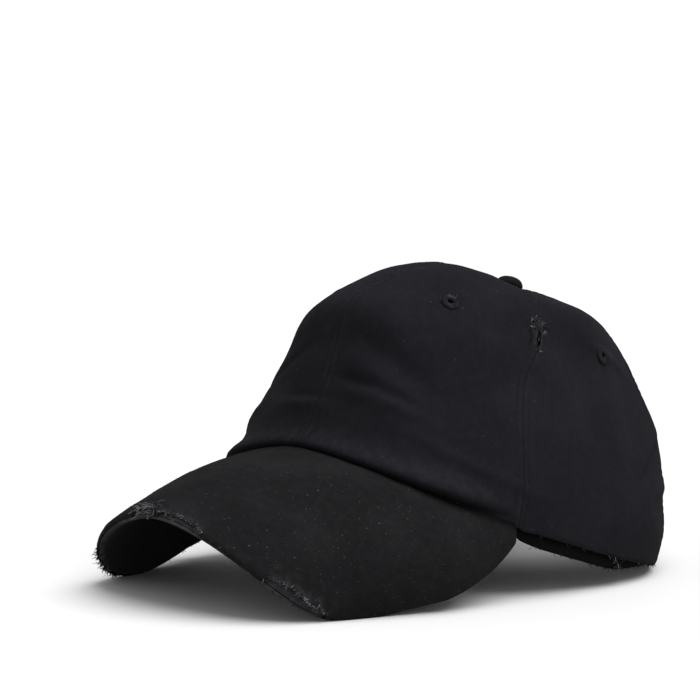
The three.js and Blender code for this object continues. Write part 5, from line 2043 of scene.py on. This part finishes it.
@dataclass(frozen=True)
class Studio:
    """Pale floor, soft light and the camera at the photo's angle."""

    azimuth: float = radians(37.86)
    elevation: float = radians(5.22)
    distance: float = 864.3
    centre: Tone = (0.0, 44.56, 60.0)
    aim_right: float = -56.5
    aim_up: float = 33.6
    roll: float = radians(2.24)
    focal_pixels: float = 1895.3
    image_width: int = 700
    sensor: float = 36.0
    floor_size: float = 6.0
    floor_tone: Tone = (0.5, 0.5, 0.5)
    sky: float = 0.82
    sky_seen: float = 0.2
    lamp_angle: float = radians(64)
    lamp_energy: float = 4.5
    lamp_way: Tone = (-0.3, -0.2, -1)

    def build(self) -> None:
        """Builds the floor, the lights and the camera."""
        self.lay_floor()
        self.hang_lights()
        self.set_camera()

    def lay_floor(self) -> None:
        """Lays a wide white floor."""
        bm = bmesh.new()
        bmesh.ops.create_grid(bm, x_segments=1, y_segments=1, size=self.floor_size)
        mesh = finished_mesh(bm, "studio_floor")
        floor = new_object("studio_floor", mesh)
        material = bpy.data.materials.new("studio_floor")
        material.use_nodes = True
        shader = material.node_tree.nodes["Principled BSDF"]
        shader.inputs["Base Color"].default_value = (*self.floor_tone, 1)
        shader.inputs["Roughness"].default_value = 0.7
        shader.inputs["Specular IOR Level"].default_value = 0.2
        mesh.materials.append(material)

    def hang_lights(self) -> None:
        """Lights a white room, mostly from above."""
        world = bpy.data.worlds.new("studio")
        world.use_nodes = True
        sky = Sheet(world.node_tree)
        seen = sky.node("ShaderNodeLightPath").outputs["Is Camera Ray"]
        glow = sky.node("ShaderNodeBackground")
        sky.wire((1, 1, 1, 1), glow.inputs["Color"])
        strength = sky.math("MULTIPLY_ADD", seen, self.sky_seen, self.sky)
        sky.wire(strength, glow.inputs["Strength"])
        sky.wire(glow.outputs[0], sky.node("ShaderNodeOutputWorld").inputs[0])
        bpy.context.scene.world = world
        bpy.context.scene.view_settings.view_transform = "Standard"
        lamp = bpy.data.lights.new("top", "SUN")
        lamp.angle, lamp.energy = self.lamp_angle, self.lamp_energy
        hung = new_object("top", lamp)
        hung.rotation_euler = Vector(self.lamp_way).to_track_quat("-Z", "Y").to_euler()

    def set_camera(self) -> None:
        """Sets the camera at the photo's angle."""
        az, el = self.azimuth, self.elevation
        back = Vector((sin(az) * cos(el), -cos(az) * cos(el), sin(el)))
        right = Vector((cos(az), sin(az), 0))
        up = back.cross(right)
        centre = Vector(self.centre)
        place = centre + back * self.distance
        ahead = (centre + right * self.aim_right + up * self.aim_up - place).normalized()
        right = ahead.cross(Vector((0, 0, 1))).normalized()
        up = right.cross(ahead)
        c, s = cos(self.roll), sin(self.roll)
        right, up = right * c + up * s, up * c - right * s
        camera = bpy.data.cameras.new("camera")
        camera.sensor_width = self.sensor
        camera.lens = self.focal_pixels * self.sensor / self.image_width
        camera.clip_start, camera.clip_end = 0.01, 50
        hung = new_object("camera", camera)
        turned = Matrix((right, up, -ahead)).transposed().to_4x4()
        hung.matrix_world = Matrix.Translation(place * MM) @ turned
        bpy.context.scene.camera = hung


def build_materials(effects: ClothEffects) -> dict[Slot, Material]:
    """Returns the finish of every slot."""
    crown = ClothFinish("crown_twill", (0.0060, 0.0058, 0.0073), (0.0146, 0.0141, 0.0168))
    brim = ClothFinish("brim_twill", (0.0052, 0.0051, 0.0056), (0.0130, 0.0128, 0.0136),
                       fade=0.5, unevenness=0.9, relief=0.2, specks=0.75, speck_size=0.065)
    board = ClothFinish("frayed_inner_layer", (0.009, 0.0094, 0.0097), (0.034, 0.0355, 0.0365),
                        pitch=0.9, unevenness=1.4, relief=0.25, fade=0.5, specks=0.45)
    # band tones: the band's own dark cloth, darkened further as painted shade for the cap's inside.
    band = ClothFinish("band_cotton_darkened", (0.0018, 0.0018, 0.0021), (0.005, 0.005, 0.0055),
                       fade=0.3, pitch=0.9, specks=0.1)
    thread = ThreadFinish("black_thread", (0.0080, 0.0077, 0.0092), (0.0155, 0.0150, 0.0175))
    cloths = {Slot.CROWN: crown, Slot.BRIM: brim, Slot.BOARD: board, Slot.BAND: band}
    materials = {slot: cloth.build(effects) for slot, cloth in cloths.items()}
    return {**materials, Slot.THREAD: thread.build()}


def main() -> None:
    """Builds the cap round the frame, and the studio that it stands in."""
    logging.basicConfig(level=logging.INFO, format="%(name)s: %(message)s")
    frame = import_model()
    LOG.info("frame: %d nodes", len(frame["nodes"]))
    shape = CrownShape()
    back = BackOpening(shape)
    effects = ClothEffects.build()
    finisher = Finisher(RestPose(), build_materials(effects))
    crown = Crown(shape, ponytail_cut=back.inside)
    # The under cover's tones are lighter than the top's: painted light for the brim's shaded
    # underside.
    under = ClothFinish("under_brim_twill_lightened", (0.0165, 0.0165, 0.018), (0.04, 0.04, 0.043),
                        unevenness=0.7)
    brim, band = Brim(shape, under.build(effects)), Sweatband(shape)
    frays = Frays(crown, brim, band, finisher.pose)
    for part in (crown, Eyelets(crown), TopButton(shape), brim, back, band, frays):
        part.build(finisher)
        LOG.info("%s is done", type(part).__name__)
    Studio().build()


if __name__ == "__main__":
    main()
